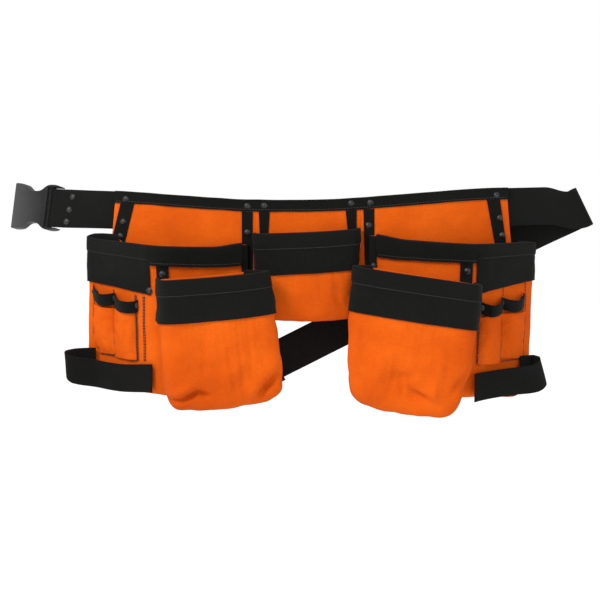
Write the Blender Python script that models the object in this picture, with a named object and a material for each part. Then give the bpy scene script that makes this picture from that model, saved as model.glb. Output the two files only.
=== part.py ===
"""Canvas tool belt with two pocket wings, a centre pocket and a side-release buckle. Metres, +Z up.

The belt is as worn: its front faces -Y, X runs along it, and the origin is on the back face of the
webbing at the middle of the belt.
"""

import math

import bmesh
import bpy
from mathutils import Matrix, Vector

# Webbing belt
WEB_WIDTH = 0.0508
WEB_THICK = 0.0018
GAP = 0.0004
FLAT_HALF = 0.075
WING_RADIUS = 0.700
SAG_LEFT = 0.0105
SAG_RIGHT = 0.0145
END_TILT = math.tan(math.radians(14.0))
BELT_LEFT_END = -0.3565
BELT_TURN_START = 0.325
BELT_STEPS = 64
WEB_ACROSS = 4

# Panels and their trim
CANVAS = 0.0012
PANEL_D = WEB_THICK + GAP
TRIM_D = PANEL_D + CANVAS + GAP
TRIM = 0.0013
PANEL_TOP = 0.0254
PANEL_FOOT = -0.072
BINDING_HEIGHT = 0.0150
STRIP_WIDTH = 0.0145
STRIP_FOOT = -0.029
OUTER_STRIP_FOOT = -0.051
INNER_STRIP_FOOT = -0.068
LEFT_LEAN = 0.11
RIGHT_LEAN = 0.10
OUTER_LEAN = 0.20

# Rivets
RIVET_RADIUS = 0.0042
RIVET_HEIGHT = 0.0022

# Pockets
WALL = 0.0016
BAND = 0.0016
BAND_GAP = 0.0005
ARC_STEPS = 4
SIDE_STEPS = 5
POCKET_RADII = (0.003, 0.045, 0.005, 0.004)
POUCH_RADII = (0.006, 0.018, 0.016, 0.008)
CHANNEL_BULGE = 0.0125
CHANNEL_LIFT = 0.0005
LOBE_BULGE = 0.0120
LOOP_WIDTH = 0.0380
LOOP_LIFT = 0.0056

# Turn of the strap at the right end
TURN_TOP = Vector((0.3615, 0.0650, 0.0352))
TURN_FOOT = Vector((0.3865, 0.0685, -0.0140))
TURN_RADIUS = 0.0034
TAIL_SLOPE = math.radians(25.9)
TAIL_LENGTH = 0.495
TAIL_SWING_IN = math.radians(7.2)

# Buckle
SOCKET_KNOTS = (
    (-0.0120, 0.0290), (-0.0085, 0.0303), (-0.0020, 0.0310), (0.0058, 0.0303), (0.0108, 0.0277),
    (0.0150, 0.0243), (0.0190, 0.0222), (0.0250, 0.0215), (0.0312, 0.0218), (0.0355, 0.0238),
    (0.0395, 0.0272), (0.0440, 0.0301), (0.0562, 0.0313), (0.0580, 0.0305),
)
SOCKET_INNER = 0.0278
BUCKLE_THICK = 0.0150
BAR_RADIUS = 0.0024
LOOP_LENGTH = 0.052
BAR_LEAN = 0.015
PLUG_START = 0.467
NOTCH_END = 0.0064
PRONG_LENGTH = 0.0366
PRONG_START = 0.0308


def clear_scene():
    for item in list(bpy.data.objects):
        bpy.data.objects.remove(item, do_unlink=True)


def material(name, colour, roughness, metallic=0.0):
    made = bpy.data.materials.new(name)
    made.use_nodes = True
    shader = made.node_tree.nodes["Principled BSDF"]
    shader.inputs["Base Color"].default_value = (*colour, 1.0)
    shader.inputs["Roughness"].default_value = roughness
    shader.inputs["Metallic"].default_value = metallic
    return made


def smooth(t):
    t = min(max(t, 0.0), 1.0)
    return t * t * (3.0 - 2.0 * t)


def mix(a, b, t):
    return a + (b - a) * t


def sag(s):
    """How far the belt's midline has risen at distance s along it from the middle."""
    return SAG_LEFT * smooth((-s - 0.050) / 0.230) + SAG_RIGHT * smooth((s + 0.010) / 0.270)


def place(s, d, z):
    """The point s along the belt, d in front of the webbing's back face and z above its midline.

    The left end, where the buckle hangs, leans back at its top.
    """
    side = math.copysign(1.0, s)
    d -= z * END_TILT * smooth((-s - 0.265) / 0.080)
    angle = max(abs(s) - FLAT_HALF, 0.0) / WING_RADIUS
    along = min(abs(s), FLAT_HALF) + WING_RADIUS * math.sin(angle)
    back = WING_RADIUS * (1.0 - math.cos(angle))
    return Vector((
        side * (along + d * math.sin(angle)),
        back - d * math.cos(angle),
        z + sag(s),
    ))


def finish(name, mesh, look, flat=False, angle=40.0):
    """Turns a bmesh into a named object with smooth shading across its gentle edges."""
    bmesh.ops.recalc_face_normals(mesh, faces=mesh.faces[:])
    if mesh.calc_volume(signed=True) < 0.0:
        bmesh.ops.reverse_faces(mesh, faces=mesh.faces[:])
    data = bpy.data.meshes.new(name)
    mesh.to_mesh(data)
    mesh.free()
    data.materials.append(look)
    if not flat:
        data.shade_smooth()
        data.set_sharp_from_angle(angle=math.radians(angle))
    made = bpy.data.objects.new(name, data)
    bpy.context.scene.collection.objects.link(made)
    return made


def set_origin(made, point):
    """Moves an object's origin to a point, leaving its shape where it is."""
    made.data.transform(Matrix.Translation(-point))
    made.location = point


def sheet(name, front, back, look, wrap=False, floor=False):
    """A closed solid between two grids of points, rows by columns.

    With wrap the columns close into a ring; with floor the last row of each grid is closed by a cap.
    """
    mesh = bmesh.new()
    faces = [[[mesh.verts.new(p) for p in row] for row in grid] for grid in (front, back)]
    rows = len(front)
    columns = len(front[0])
    steps = columns if wrap else columns - 1
    for grid in faces:
        for r in range(rows - 1):
            for c in range(steps):
                n = (c + 1) % columns
                mesh.faces.new((grid[r][c], grid[r][n], grid[r + 1][n], grid[r + 1][c]))
    rims = [0] if floor else [0, rows - 1]
    for r in rims:
        for c in range(steps):
            n = (c + 1) % columns
            mesh.faces.new((faces[0][r][c], faces[0][r][n], faces[1][r][n], faces[1][r][c]))
    if not wrap:
        for c in (0, columns - 1):
            for r in range(rows - 1):
                mesh.faces.new((faces[0][r][c], faces[0][r + 1][c],
                                faces[1][r + 1][c], faces[1][r][c]))
    if floor:
        for grid in faces:
            last = grid[-1]
            middle = sum((v.co for v in last), Vector()) / len(last)
            hub = mesh.verts.new(middle)
            for c in range(columns):
                mesh.faces.new((last[c], last[(c + 1) % columns], hub))
    return finish(name, mesh, look)


def belt_strip(name, look, near, far, foot, top, depth, thick, leans=(0.0, 0.0), steps=2, rows=1):
    """A flat piece lying along the belt; leans says how its two ends move outward going down."""
    def grid(d):
        made = []
        for r in range(rows + 1):
            z = mix(top, foot, r / rows)
            start = near + leans[0] * (top - z)
            end = far + leans[1] * (top - z)
            made.append([place(mix(start, end, c / steps), d, z) for c in range(steps + 1)])
        return made
    return sheet(name, grid(depth + thick), grid(depth), look)


def rivet(name, look, base, outward):
    """A domed rivet head standing on a surface."""
    mesh = bmesh.new()
    bmesh.ops.create_uvsphere(mesh, u_segments=12, v_segments=6, radius=RIVET_RADIUS)
    low = [v for v in mesh.verts if v.co.z < -1e-6]
    bmesh.ops.delete(mesh, geom=low, context="VERTS")
    rim = [e for e in mesh.edges if e.is_boundary]
    bmesh.ops.contextual_create(mesh, geom=rim)
    squash = Matrix.Diagonal((1.0, 1.0, RIVET_HEIGHT / RIVET_RADIUS, 1.0))
    turn = outward.to_track_quat("Z", "Y").to_matrix().to_4x4()
    mesh.transform(Matrix.Translation(base + outward * GAP) @ turn @ squash)
    return finish(name, mesh, look)


def belt_rivet(name, look, s, z, depth):
    reach = RIVET_RADIUS / 2.0
    along = place(s + reach, depth, z) - place(s - reach, depth, z)
    rise = place(s, depth, z + reach) - place(s, depth, z - reach)
    return rivet(name, look, place(s, depth, z), along.cross(rise).normalized())


class Bag:
    """A pocket whose plan is a rounded polygon in belt coordinates, tapering from mouth to floor."""

    def __init__(self, top, foot, radii, mouth, floor, droop, hinge, round_foot, belly, levels):
        self.top = top
        self.foot = foot
        self.radii = radii
        self.mouth = mouth
        self.floor = floor
        self.droop = droop
        self.hinge = hinge
        self.round_foot = round_foot
        self.belly = belly
        self.levels = levels

    def corners(self, t, out):
        """The plan's corners at height t from mouth (0) to floor (1), moved outward by out."""
        plan = [Vector((mix(a[0], b[0], t), mix(a[1], b[1], t))) for a, b in zip(self.top, self.foot)]
        area = sum(p.x * q.y - q.x * p.y for p, q in zip(plan, plan[1:] + plan[:1]))
        side = 1.0 if area > 0 else -1.0
        moved = []
        count = len(plan)
        for i, p in enumerate(plan):
            before = (p - plan[i - 1]).normalized()
            after = (plan[(i + 1) % count] - p).normalized()
            n1 = Vector((before.y, -before.x)) * side
            n2 = Vector((after.y, -after.x)) * side
            moved.append(p + (n1 + n2) * (out / (1.0 + n1.dot(n2))))
        return moved

    def ring(self, t, out):
        """Points round the plan, arcs at its corners and even steps along its sides."""
        points = self.corners(t, out)
        count = len(points)
        starts = []
        ends = []
        arcs = []
        for i, p in enumerate(points):
            before = (points[i - 1] - p)
            after = (points[(i + 1) % count] - p)
            half = before.angle(after) / 2.0
            reach = max(self.radii[i] + out, 0.0008) / math.tan(half)
            reach = min(reach, 0.46 * before.length, 0.46 * after.length)
            a = p + before.normalized() * reach
            b = p + after.normalized() * reach
            arcs.append([mix(mix(a, p, u), mix(p, b, u), u)
                         for u in (k / ARC_STEPS for k in range(ARC_STEPS + 1))])
            starts.append(a)
            ends.append(b)
        ring = []
        for i in range(count):
            ring.extend(arcs[i])
            after = starts[(i + 1) % count]
            ring.extend(mix(ends[i], after, k / SIDE_STEPS) for k in range(1, SIDE_STEPS))
        return ring

    def height(self, s, t):
        z = mix(self.mouth, self.floor, t)
        return z - self.droop * max(abs(s) - self.hinge, 0.0)

    def swell(self, t):
        """How far the wall stands out at height t: the belly, less the rounding at the floor."""
        out = self.belly * math.sin(math.pi * min(t, 1.0))
        rise = (1.0 - t) * (self.mouth - self.floor)
        if rise < self.round_foot:
            fall = 1.0 - rise / self.round_foot
            out -= self.round_foot * (1.0 - math.sqrt(max(1.0 - fall * fall, 0.0))) * 0.8
        return out

    def row(self, t, out):
        """A ring of world points at height t."""
        return [place(p.x, p.y, self.height(p.x, t))
                for p in self.ring(t, self.swell(t) + out)]

    def wall_point(self, side, u, t, out):
        """A point on the straight wall after a corner, u of the way along, out from the wall."""
        ring = self.ring(t, self.swell(t) + out)
        step = ARC_STEPS + SIDE_STEPS
        first = ring[side * step + ARC_STEPS]
        last = ring[((side + 1) * step) % len(ring)]
        p = mix(first, last, u)
        return place(p.x, p.y, self.height(p.x, t))

    def solid(self, name, look):
        outer = [self.row(t, 0.0) for t in self.levels]
        depth = self.mouth - self.floor
        inner_levels = [min(t, 1.0 - WALL / depth) for t in self.levels]
        inner = [self.row(t, -WALL) for t in inner_levels]
        return sheet(name, outer, inner, look, wrap=True, floor=True)

    def band(self, name, look, columns, levels, out=BAND_GAP, thick=BAND, lift=0.0):
        """A band lying on the wall over some of the ring's columns."""
        def grid(off):
            rows = []
            for t in levels:
                row = self.row(t, off)
                rows.append([row[c % len(row)] + Vector((0.0, 0.0, lift)) for c in columns])
            return rows
        return sheet(name, grid(out + thick), grid(out), look)

    def patch(self, name, look, side, ends, levels, steps, stand, thick):
        """A piece on one wall that stands out from it by stand(u, v), with u, v from 0 to 1."""
        def grid(off):
            rows = []
            for r, t in enumerate(levels):
                v = r / (len(levels) - 1)
                rows.append([self.wall_point(side, mix(ends[0], ends[1], c / steps), t,
                                             BAND_GAP + stand(c / steps, v) + off)
                             for c in range(steps + 1)])
            return rows
        return sheet(name, grid(thick), grid(0.0), look)


def ruled(name, look, tops, feet, normals, thick, across=1):
    """A ribbon through matching points on its two edges, centred on them across its thickness."""
    def grid(side):
        return [[mix(a, b, k / across) + n * (side * thick / 2.0) for k in range(across + 1)]
                for a, b, n in zip(tops, feet, normals)]
    return sheet(name, grid(1.0), grid(-1.0), look)


def box_mesh(low, high):
    mesh = bmesh.new()
    bmesh.ops.create_cube(mesh, size=1.0)
    size = [b - a for a, b in zip(low, high)]
    middle = [(a + b) / 2.0 for a, b in zip(low, high)]
    mesh.transform(Matrix.Translation(middle) @ Matrix.Diagonal((*size, 1.0)))
    return mesh


def outline_mesh(points, low, high):
    """A solid between two heights with the given outline."""
    mesh = bmesh.new()
    base = mesh.faces.new([mesh.verts.new((x, y, low)) for x, y in points])
    moved = bmesh.ops.extrude_face_region(mesh, geom=[base])["geom"]
    bmesh.ops.translate(mesh, vec=(0.0, 0.0, high - low),
                        verts=[v for v in moved if isinstance(v, bmesh.types.BMVert)])
    return mesh


def combine(target, helper, operation):
    """Adds or cuts a helper object, then takes the helper away."""
    step = target.modifiers.new(operation.lower(), "BOOLEAN")
    step.operation = operation
    step.solver = "EXACT"
    step.object = helper
    apply_modifiers(target)
    bpy.data.objects.remove(helper, do_unlink=True)


def apply_modifiers(target):
    graph = bpy.context.evaluated_depsgraph_get()
    done = bpy.data.meshes.new_from_object(target.evaluated_get(graph), depsgraph=graph)
    target.modifiers.clear()
    target.data = done


def bevel(target, width, segments=2):
    step = target.modifiers.new("edges", "BEVEL")
    step.width = width
    step.segments = segments
    step.limit_method = "ANGLE"
    step.angle_limit = math.radians(40.0)
    apply_modifiers(target)


def helper(mesh, look):
    return finish("helper", mesh, look, flat=True)


def stand(made, frame, origin):
    """Moves a piece from its own axes into the belt's, with its origin at a point of the joint."""
    made.data.transform(frame)
    set_origin(made, origin)


clear_scene()
ORANGE = material("orange_canvas", (0.80, 0.13, 0.02), 0.85)
BLACK = material("black_webbing", (0.016, 0.016, 0.014), 0.75)
PLASTIC = material("black_plastic", (0.020, 0.020, 0.020), 0.40)
STEEL = material("dark_rivet", (0.060, 0.060, 0.060), 0.35, 0.9)

# The belt webbing: a straight run along the panels, then a turn out to the fold.
axis = (TURN_FOOT - TURN_TOP).normalized()
swing = Vector((-math.cos(TAIL_SWING_IN), -math.sin(TAIL_SWING_IN), 0.0))
tail_way = (swing * math.cos(TAIL_SLOPE) + Vector((0, 0, -math.sin(TAIL_SLOPE)))).normalized()
forward = axis.cross(tail_way).normalized()
if forward.y > 0:
    forward = -forward
bend_out = forward.cross(axis).normalized()
if bend_out.x < 0:
    bend_out = -bend_out


def belt_edges(z):
    """Points along one edge of the belt's front run, and the direction it faces at each."""
    points = []
    normals = []
    for k in range(BELT_STEPS + 1):
        s = mix(BELT_LEFT_END + BAR_LEAN * z, BELT_TURN_START, k / BELT_STEPS)
        middle = place(s, WEB_THICK / 2.0, z)
        points.append(middle)
        normals.append((place(s, WEB_THICK, z) - place(s, 0.0, z)).normalized())
    return points, normals


def turn_edge(start, way, end, last_way, count):
    """A smooth path from one point and direction to another."""
    reach = (end - start).length
    path = []
    for k in range(1, count + 1):
        t = k / count
        path.append((2 * t**3 - 3 * t**2 + 1) * start + (t**3 - 2 * t**2 + t) * reach * way
                    + (-2 * t**3 + 3 * t**2) * end + (t**3 - t**2) * reach * last_way)
    return path


front_offset = forward * (TURN_RADIUS + WEB_THICK / 2.0)
top_points, face_ways = belt_edges(WEB_WIDTH / 2.0)
foot_points, _ = belt_edges(-WEB_WIDTH / 2.0)
start_way = (top_points[-1] - top_points[-2]).normalized()
end_way = bend_out
short = bend_out * 0.0006
top_points += turn_edge(top_points[-1], start_way, TURN_TOP + front_offset - short, end_way, 6)
foot_points += turn_edge(foot_points[-1], start_way, TURN_FOOT + front_offset - short, end_way, 6)
for k in range(1, 7):
    face_ways.append(mix(face_ways[BELT_STEPS], forward, smooth(k / 6)).normalized())
ruled("belt_webbing", BLACK, top_points, foot_points, face_ways, WEB_THICK, WEB_ACROSS)

# The fold and the tail of the strap.
fold_tops = []
fold_feet = []
fold_ways = []
for k in range(9):
    angle = math.pi * k / 8
    way = forward * math.cos(angle) + bend_out * math.sin(angle)
    offset = way * (TURN_RADIUS + WEB_THICK / 2.0)
    fold_tops.append(TURN_TOP + offset)
    fold_feet.append(TURN_FOOT + offset)
    fold_ways.append(way)
ruled("strap_fold", BLACK, fold_tops, fold_feet, fold_ways, WEB_THICK)

tail_start = (TURN_TOP + TURN_FOOT) / 2.0 - forward * (TURN_RADIUS + WEB_THICK / 2.0)
tail_across = axis - tail_way * axis.dot(tail_way)
tail_across.normalize()
tail_tops = []
tail_feet = []
for k in range(13):
    t = k / 12
    gone = mix(0.0006, TAIL_LENGTH, t)
    lead = smooth(t * 6.0)
    edge = mix(axis * (TURN_FOOT - TURN_TOP).length / 2.0, tail_across * WEB_WIDTH / 2.0, lead)
    tail_tops.append(tail_start + tail_way * gone - edge)
    tail_feet.append(tail_start + tail_way * gone + edge)
tail = ruled("strap_tail", BLACK, tail_tops, tail_feet, [-forward] * 13, WEB_THICK)
set_origin(tail, (TURN_TOP + TURN_FOOT) / 2.0)

# The webbing end that wraps the buckle's bar and lies doubled behind the belt.
bar_depth = -(BAR_RADIUS + GAP)
bar_s = BELT_LEFT_END - 0.0004


def loop_grid(radius):
    rows = []
    for k in range(9):
        angle = math.pi * k / 8
        s = bar_s - radius * math.sin(angle)
        d = bar_depth + radius * math.cos(angle)
        rows.append((s, d))
    behind = -GAP - (radius - BAR_RADIUS - GAP)
    last = rows[-1]
    for k in range(1, 9):
        t = k / 8
        rows.append((last[0] + LOOP_LENGTH * t, mix(last[1], behind, smooth(t * 2.2))))
    heights = [WEB_WIDTH * (0.5 - k / WEB_ACROSS) for k in range(WEB_ACROSS + 1)]
    return [[place(s + BAR_LEAN * z, d, z) for z in heights] for s, d in rows]


sheet("buckle_loop", loop_grid(BAR_RADIUS + GAP + WEB_THICK), loop_grid(BAR_RADIUS + GAP), BLACK)

# The apron's panels, the strips over their ends and the binding along their top.
JOIN = 0.0700
LEFT_OUT = 0.2585
RIGHT_OUT = 0.2680
belt_strip("panel_left", ORANGE, -LEFT_OUT, -JOIN - GAP, PANEL_FOOT, PANEL_TOP, PANEL_D, CANVAS,
           (-LEFT_LEAN, 0.0), 8)
belt_strip("panel_centre", ORANGE, -JOIN, JOIN, PANEL_FOOT, PANEL_TOP, PANEL_D, CANVAS, steps=4)
belt_strip("panel_right", ORANGE, JOIN + GAP, RIGHT_OUT, PANEL_FOOT, PANEL_TOP, PANEL_D, CANVAS,
           (0.0, RIGHT_LEAN), 8)
STRIPS = {
    "strip_left_outer": (-0.2520, 0.0190, -0.26, OUTER_STRIP_FOOT),
    "strip_left_inner": (-0.0880, STRIP_WIDTH, 0.0, INNER_STRIP_FOOT),
    "strip_centre_left": (-0.0655, STRIP_WIDTH, 0.0, STRIP_FOOT),
    "strip_centre_right": (0.0500, STRIP_WIDTH, 0.0, STRIP_FOOT),
    "strip_right_inner": (0.0735, STRIP_WIDTH, 0.0, INNER_STRIP_FOOT),
    "strip_right_outer": (0.2400, 0.0185, OUTER_LEAN, OUTER_STRIP_FOOT),
}
STRIP_TOP = PANEL_TOP - BINDING_HEIGHT - GAP
for name, (start, width, lean, foot) in STRIPS.items():
    belt_strip(name, BLACK, start, start + width, foot, STRIP_TOP, TRIM_D, TRIM, (lean, lean), 2, 3)
belt_strip("top_binding", BLACK, -LEFT_OUT - 0.0010, RIGHT_OUT + 0.0010, PANEL_TOP - BINDING_HEIGHT,
           PANEL_TOP + 0.0010, TRIM_D, TRIM, (-LEFT_LEAN, RIGHT_LEAN), 24)

# The pockets. Each plan runs from the inner end of the back wall round the front to the outer end.
LEVELS = (0.0, 0.125, 0.30, 0.47, 0.63, 0.78, 0.88, 0.93, 0.965, 0.988, 1.0)
POUCH_LEVELS = (0.0, 0.10, 0.22, 0.34, 0.50, 0.65, 0.78, 0.87, 0.93, 0.97, 0.99, 1.0)
CHANNEL_LEVELS = (0.45, 0.53, 0.61, 0.69, 0.77)
CENTRE_LEVELS = (0.0, 0.22, 0.45, 0.70, 0.88, 0.95, 1.0)
SIDES = {
    "left": {
        "sign": -1.0,
        "top": ((0.0735, 0.0062), (0.1920, 0.0540), (0.2970, 0.0160), (0.2760, 0.0062)),
        "foot": ((0.0790, 0.0062), (0.1890, 0.0500), (0.2965, 0.0150), (0.2740, 0.0062)),
        "mouth": -0.0400,
        "floor": -0.2395,
        "droop": 0.0,
        "pouch_top": ((0.0850, 0.0180), (0.0420, 0.0600), (0.1770, 0.1060), (0.1870, 0.0640)),
        "pouch_foot": ((0.0850, 0.0180), (0.0180, 0.0580), (0.1640, 0.1010), (0.1780, 0.0600)),
        "pouch_mouth": -0.0640,
        "pouch_floor": -0.2315,
        "pouch_droop": 0.12,
        "tools": ((0.18, 0.565), (0.575, 0.92)),
        "tool_loops": (0.14, 0.95),
        "loop": (0.06, 0.93, 0.001, 0.036, -0.2170, -0.2040),
    },
    "right": {
        "sign": 1.0,
        "top": ((0.0735, 0.0062), (0.2140, 0.0540), (0.3070, 0.0180), (0.2860, 0.0062)),
        "foot": ((0.0790, 0.0062), (0.2100, 0.0500), (0.3030, 0.0160), (0.2820, 0.0062)),
        "mouth": -0.0320,
        "floor": -0.2400,
        "droop": 0.08,
        "pouch_top": ((0.0850, 0.0190), (0.0515, 0.0590), (0.2060, 0.1080), (0.2060, 0.0680)),
        "pouch_foot": ((0.0850, 0.0190), (0.0450, 0.0570), (0.1850, 0.1030), (0.1950, 0.0640)),
        "pouch_mouth": -0.0570,
        "pouch_floor": -0.2350,
        "pouch_droop": 0.19,
        "tools": ((-0.20, 0.325), (0.335, 0.76)),
        "tool_loops": (-0.14, 0.84),
        "loop": (-0.02, 0.86, -0.006, 0.034, -0.2360, -0.2200),
    },
}


def bulge(height, taper):
    """How far a stitched-down channel stands out: full in its middle, fading to its foot."""
    def stand_out(u, v):
        return CHANNEL_LIFT + height * math.sin(math.pi * u) ** 0.8 * (1.0 - taper * v * v)
    return stand_out


def lobes(height):
    """Two rounded loops of webbing held down between them."""
    def stand_out(u, v):
        return height * abs(math.sin(2.0 * math.pi * u)) ** 0.6
    return stand_out


def bezier(a, b, c, d, steps):
    points = []
    for k in range(steps + 1):
        t = k / steps
        points.append((1 - t)**3 * a + 3 * (1 - t)**2 * t * b + 3 * (1 - t) * t * t * c + t**3 * d)
    return points


def hammer_loop(name, bag, spec):
    """A webbing loop sewn to the side wall at both ends, hanging out past the wall's far end."""
    start, end, reach, bow, low, high = spec
    plan = bag.corners(0.85, bag.swell(0.85))
    along = (plan[2] - plan[1]).normalized()
    length = (plan[2] - plan[1]).length
    out = Vector((along.y, -along.x))
    if out.y < 0:
        out = -out
    first = Vector((start * length, LOOP_LIFT))
    far = Vector((length + reach, bow * 0.60))
    last = Vector((end * length, LOOP_LIFT))
    path = bezier(first, first + Vector((0.45 * length, 0.001)), far + Vector((0, bow * 0.75)), far, 10)
    path += bezier(far, far - Vector((0, bow * 0.62)), last + Vector((0.030, 0.0015)), last, 8)[1:]
    middle = [plan[1] + along * p.x + out * p.y for p in path]
    heights = [mix(low, high, smooth(k / (len(path) - 1) * 1.2)) for k in range(len(path))]
    tops = []
    feet = []
    ways = []
    for k, p in enumerate(middle):
        before = middle[max(k - 1, 0)]
        after = middle[min(k + 1, len(middle) - 1)]
        run = (after - before).normalized()
        normal = Vector((run.y, -run.x))
        here = place(p.x, p.y, heights[k])
        ahead = place(p.x + normal.x * 0.01, p.y + normal.y * 0.01, heights[k])
        ways.append((ahead - here).normalized())
        tops.append(place(p.x, p.y, heights[k] + LOOP_WIDTH / 2.0))
        feet.append(place(p.x, p.y, heights[k] - LOOP_WIDTH / 2.0))
    ruled(name, BLACK, tops, feet, ways, WEB_THICK)


def signed(plan, sign):
    return [(sign * s, d) for s, d in plan]


for side, data in SIDES.items():
    sign = data["sign"]
    pocket = Bag(signed(data["top"], sign), signed(data["foot"], sign), POCKET_RADII, data["mouth"],
                 data["floor"], data["droop"], 0.080, 0.016, 0.0, LEVELS)
    pocket.solid("pocket_" + side, ORANGE)
    pocket.band("pocket_binding_" + side, BLACK, range(4, 12), (0.0, 0.125))
    pocket.band("side_band_" + side, BLACK, range(12, 23), (0.0, 0.125, 0.30))
    pocket.band("pouch_strip_inner_" + side, BLACK, (2, 3), (0.0, 0.08, 0.16, 0.23))
    pocket.patch("pouch_strip_outer_" + side, BLACK, 0, (0.85, 0.98), (0.130, 0.20, 0.28), 2,
                 lambda u, v: 0.0, BAND)
    pocket.patch("tool_channel_front_" + side, ORANGE, 1, data["tools"][0], CHANNEL_LEVELS,
                 8, bulge(CHANNEL_BULGE, 0.75), CANVAS)
    pocket.patch("tool_channel_rear_" + side, ORANGE, 1, data["tools"][1], CHANNEL_LEVELS,
                 8, bulge(CHANNEL_BULGE, 0.75), CANVAS)
    pocket.patch("tool_loops_" + side, BLACK, 1, data["tool_loops"], (0.360, 0.440), 20,
                 lobes(LOBE_BULGE), BAND)
    pouch = Bag(signed(data["pouch_top"], sign), signed(data["pouch_foot"], sign),
                POUCH_RADII, data["pouch_mouth"], data["pouch_floor"], data["pouch_droop"], 0.043,
                0.018, 0.0035, POUCH_LEVELS)
    pouch.solid("pouch_" + side, ORANGE)
    pouch.band("pouch_band_" + side, BLACK, range(3, 29), (0.0, 0.10, 0.22, 0.34))
    hammer_loop("hammer_loop_" + side, pocket, data["loop"])

centre = Bag(((-0.0720, 0.0062), (-0.0690, 0.0240), (0.0640, 0.0240), (0.0680, 0.0062)),
             ((-0.0620, 0.0062), (-0.0590, 0.0200), (0.0560, 0.0200), (0.0600, 0.0062)),
             (0.004, 0.010, 0.010, 0.004), -0.0180, -0.1330, 0.0, 0.0, 0.010, 0.0015, CENTRE_LEVELS)
centre.solid("centre_pocket", ORANGE)
centre.band("centre_band", BLACK, range(3, 29), (0.0, 0.22, 0.45))

# The buckle's socket half, round the bar in the webbing's loop.
half = WEB_WIDTH / 2.0
bar_top = place(bar_s + BAR_LEAN * half, bar_depth, half)
bar_foot = place(bar_s - BAR_LEAN * half, bar_depth, -half)
bar_middle = (bar_top + bar_foot) / 2.0
up = (bar_top - bar_foot).normalized()
away = (place(bar_s - 0.02, bar_depth, 0.0) - place(bar_s + 0.002, bar_depth, 0.0)).normalized()
away = (away - up * away.dot(up)).normalized()
back = away.cross(up)
SOCKET_FRAME = Matrix.Translation(bar_middle) @ Matrix((away, up, back)).transposed().to_4x4()


def socket_outline(steps):
    """Half of the socket's outline above its middle line, from the lug by the bar to the mouth."""
    slopes = []
    for k in range(len(SOCKET_KNOTS)):
        a = SOCKET_KNOTS[max(k - 1, 0)]
        b = SOCKET_KNOTS[min(k + 1, len(SOCKET_KNOTS) - 1)]
        slopes.append((b[1] - a[1]) / (b[0] - a[0]))
    points = [(SOCKET_KNOTS[0][0], SOCKET_INNER), SOCKET_KNOTS[0]]
    for k in range(1, len(SOCKET_KNOTS) - 2):
        (u0, v0), (u1, v1) = SOCKET_KNOTS[k:k + 2]
        for j in range(steps):
            t = j / steps
            rise = (t**3 - 2 * t**2 + t) * slopes[k] + (t**3 - t**2) * slopes[k + 1]
            points.append((mix(u0, u1, t), mix(v0, v1, smooth(t)) + rise * (u1 - u0)))
    return points + list(SOCKET_KNOTS[-2:])


upper = socket_outline(2)
upper = [(NOTCH_END, SOCKET_INNER)] + upper
outline = upper + [(u, -v) for u, v in reversed(upper)]
socket = finish("receptacle", outline_mesh(outline, -BUCKLE_THICK / 2.0, BUCKLE_THICK / 2.0), PLASTIC)
bevel(socket, 0.0013, 2)
well = helper(box_mesh((0.0125, -0.0183, -0.0050), (0.0700, 0.0183, 0.0050)), PLASTIC)
combine(socket, well, "DIFFERENCE")
rod = bmesh.new()
bmesh.ops.create_cone(rod, cap_ends=True, segments=16, radius1=BAR_RADIUS, radius2=BAR_RADIUS,
                      depth=2.0 * (SOCKET_INNER + 0.0012))
rod.transform(Matrix.Rotation(math.pi / 2.0, 4, "X"))
combine(socket, helper(rod, PLASTIC), "UNION")
stand(socket, SOCKET_FRAME, bar_middle)

# The buckle's plug half on the tail, its adjuster bars over and under the webbing.
plug_up = -tail_across
plug_back = tail_way.cross(plug_up)
plug_origin = tail_start + tail_way * PLUG_START
PLUG_FRAME = (Matrix.Translation(plug_origin)
              @ Matrix((tail_way, plug_up, plug_back)).transposed().to_4x4())
RAIL = 0.0030
RAIL_IN = WEB_WIDTH / 2.0 + 0.0009
CLEAR = WEB_THICK / 2.0 + GAP
plug = finish("plug_body", box_mesh((0.0200, -RAIL_IN - RAIL, CLEAR), (0.0300, RAIL_IN + RAIL, 0.0090)),
              PLASTIC)
for v in (-RAIL_IN - RAIL, RAIL_IN):
    rail = helper(box_mesh((0.0, v, -0.0045), (0.0260, v + RAIL, 0.0080)), PLASTIC)
    combine(plug, rail, "UNION")
for low, high in (((0.0, -RAIL_IN - 0.001, CLEAR), (0.0040, RAIL_IN + 0.001, 0.0045)),
                  ((0.0095, -RAIL_IN - 0.001, -0.0045), (0.0135, RAIL_IN + 0.001, -CLEAR)),
                  ((0.0290, -0.0045, 0.0025), (0.0600, 0.0045, 0.0080))):
    combine(plug, helper(box_mesh(low, high), PLASTIC), "UNION")
stand(plug, PLUG_FRAME, plug_origin)

for name, hand in (("plug_prong_upper", 1.0), ("plug_prong_lower", -1.0)):
    shape = [(PRONG_START, 0.0150), (PRONG_START, 0.0195), (0.0470, 0.0205), (0.0500, 0.0265),
             (0.0590, 0.0240), (PRONG_START + PRONG_LENGTH, 0.0190), (PRONG_START + PRONG_LENGTH, 0.0160),
             (0.0500, 0.0165)]
    if hand < 0:
        shape = [(u, -v) for u, v in reversed(shape)]
    prong = finish(name, outline_mesh(shape, 0.0028, 0.0078), PLASTIC)
    bevel(prong, 0.0008, 2)
    stand(prong, PLUG_FRAME, PLUG_FRAME @ Vector((PRONG_START, hand * 0.0172, 0.0053)))

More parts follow.
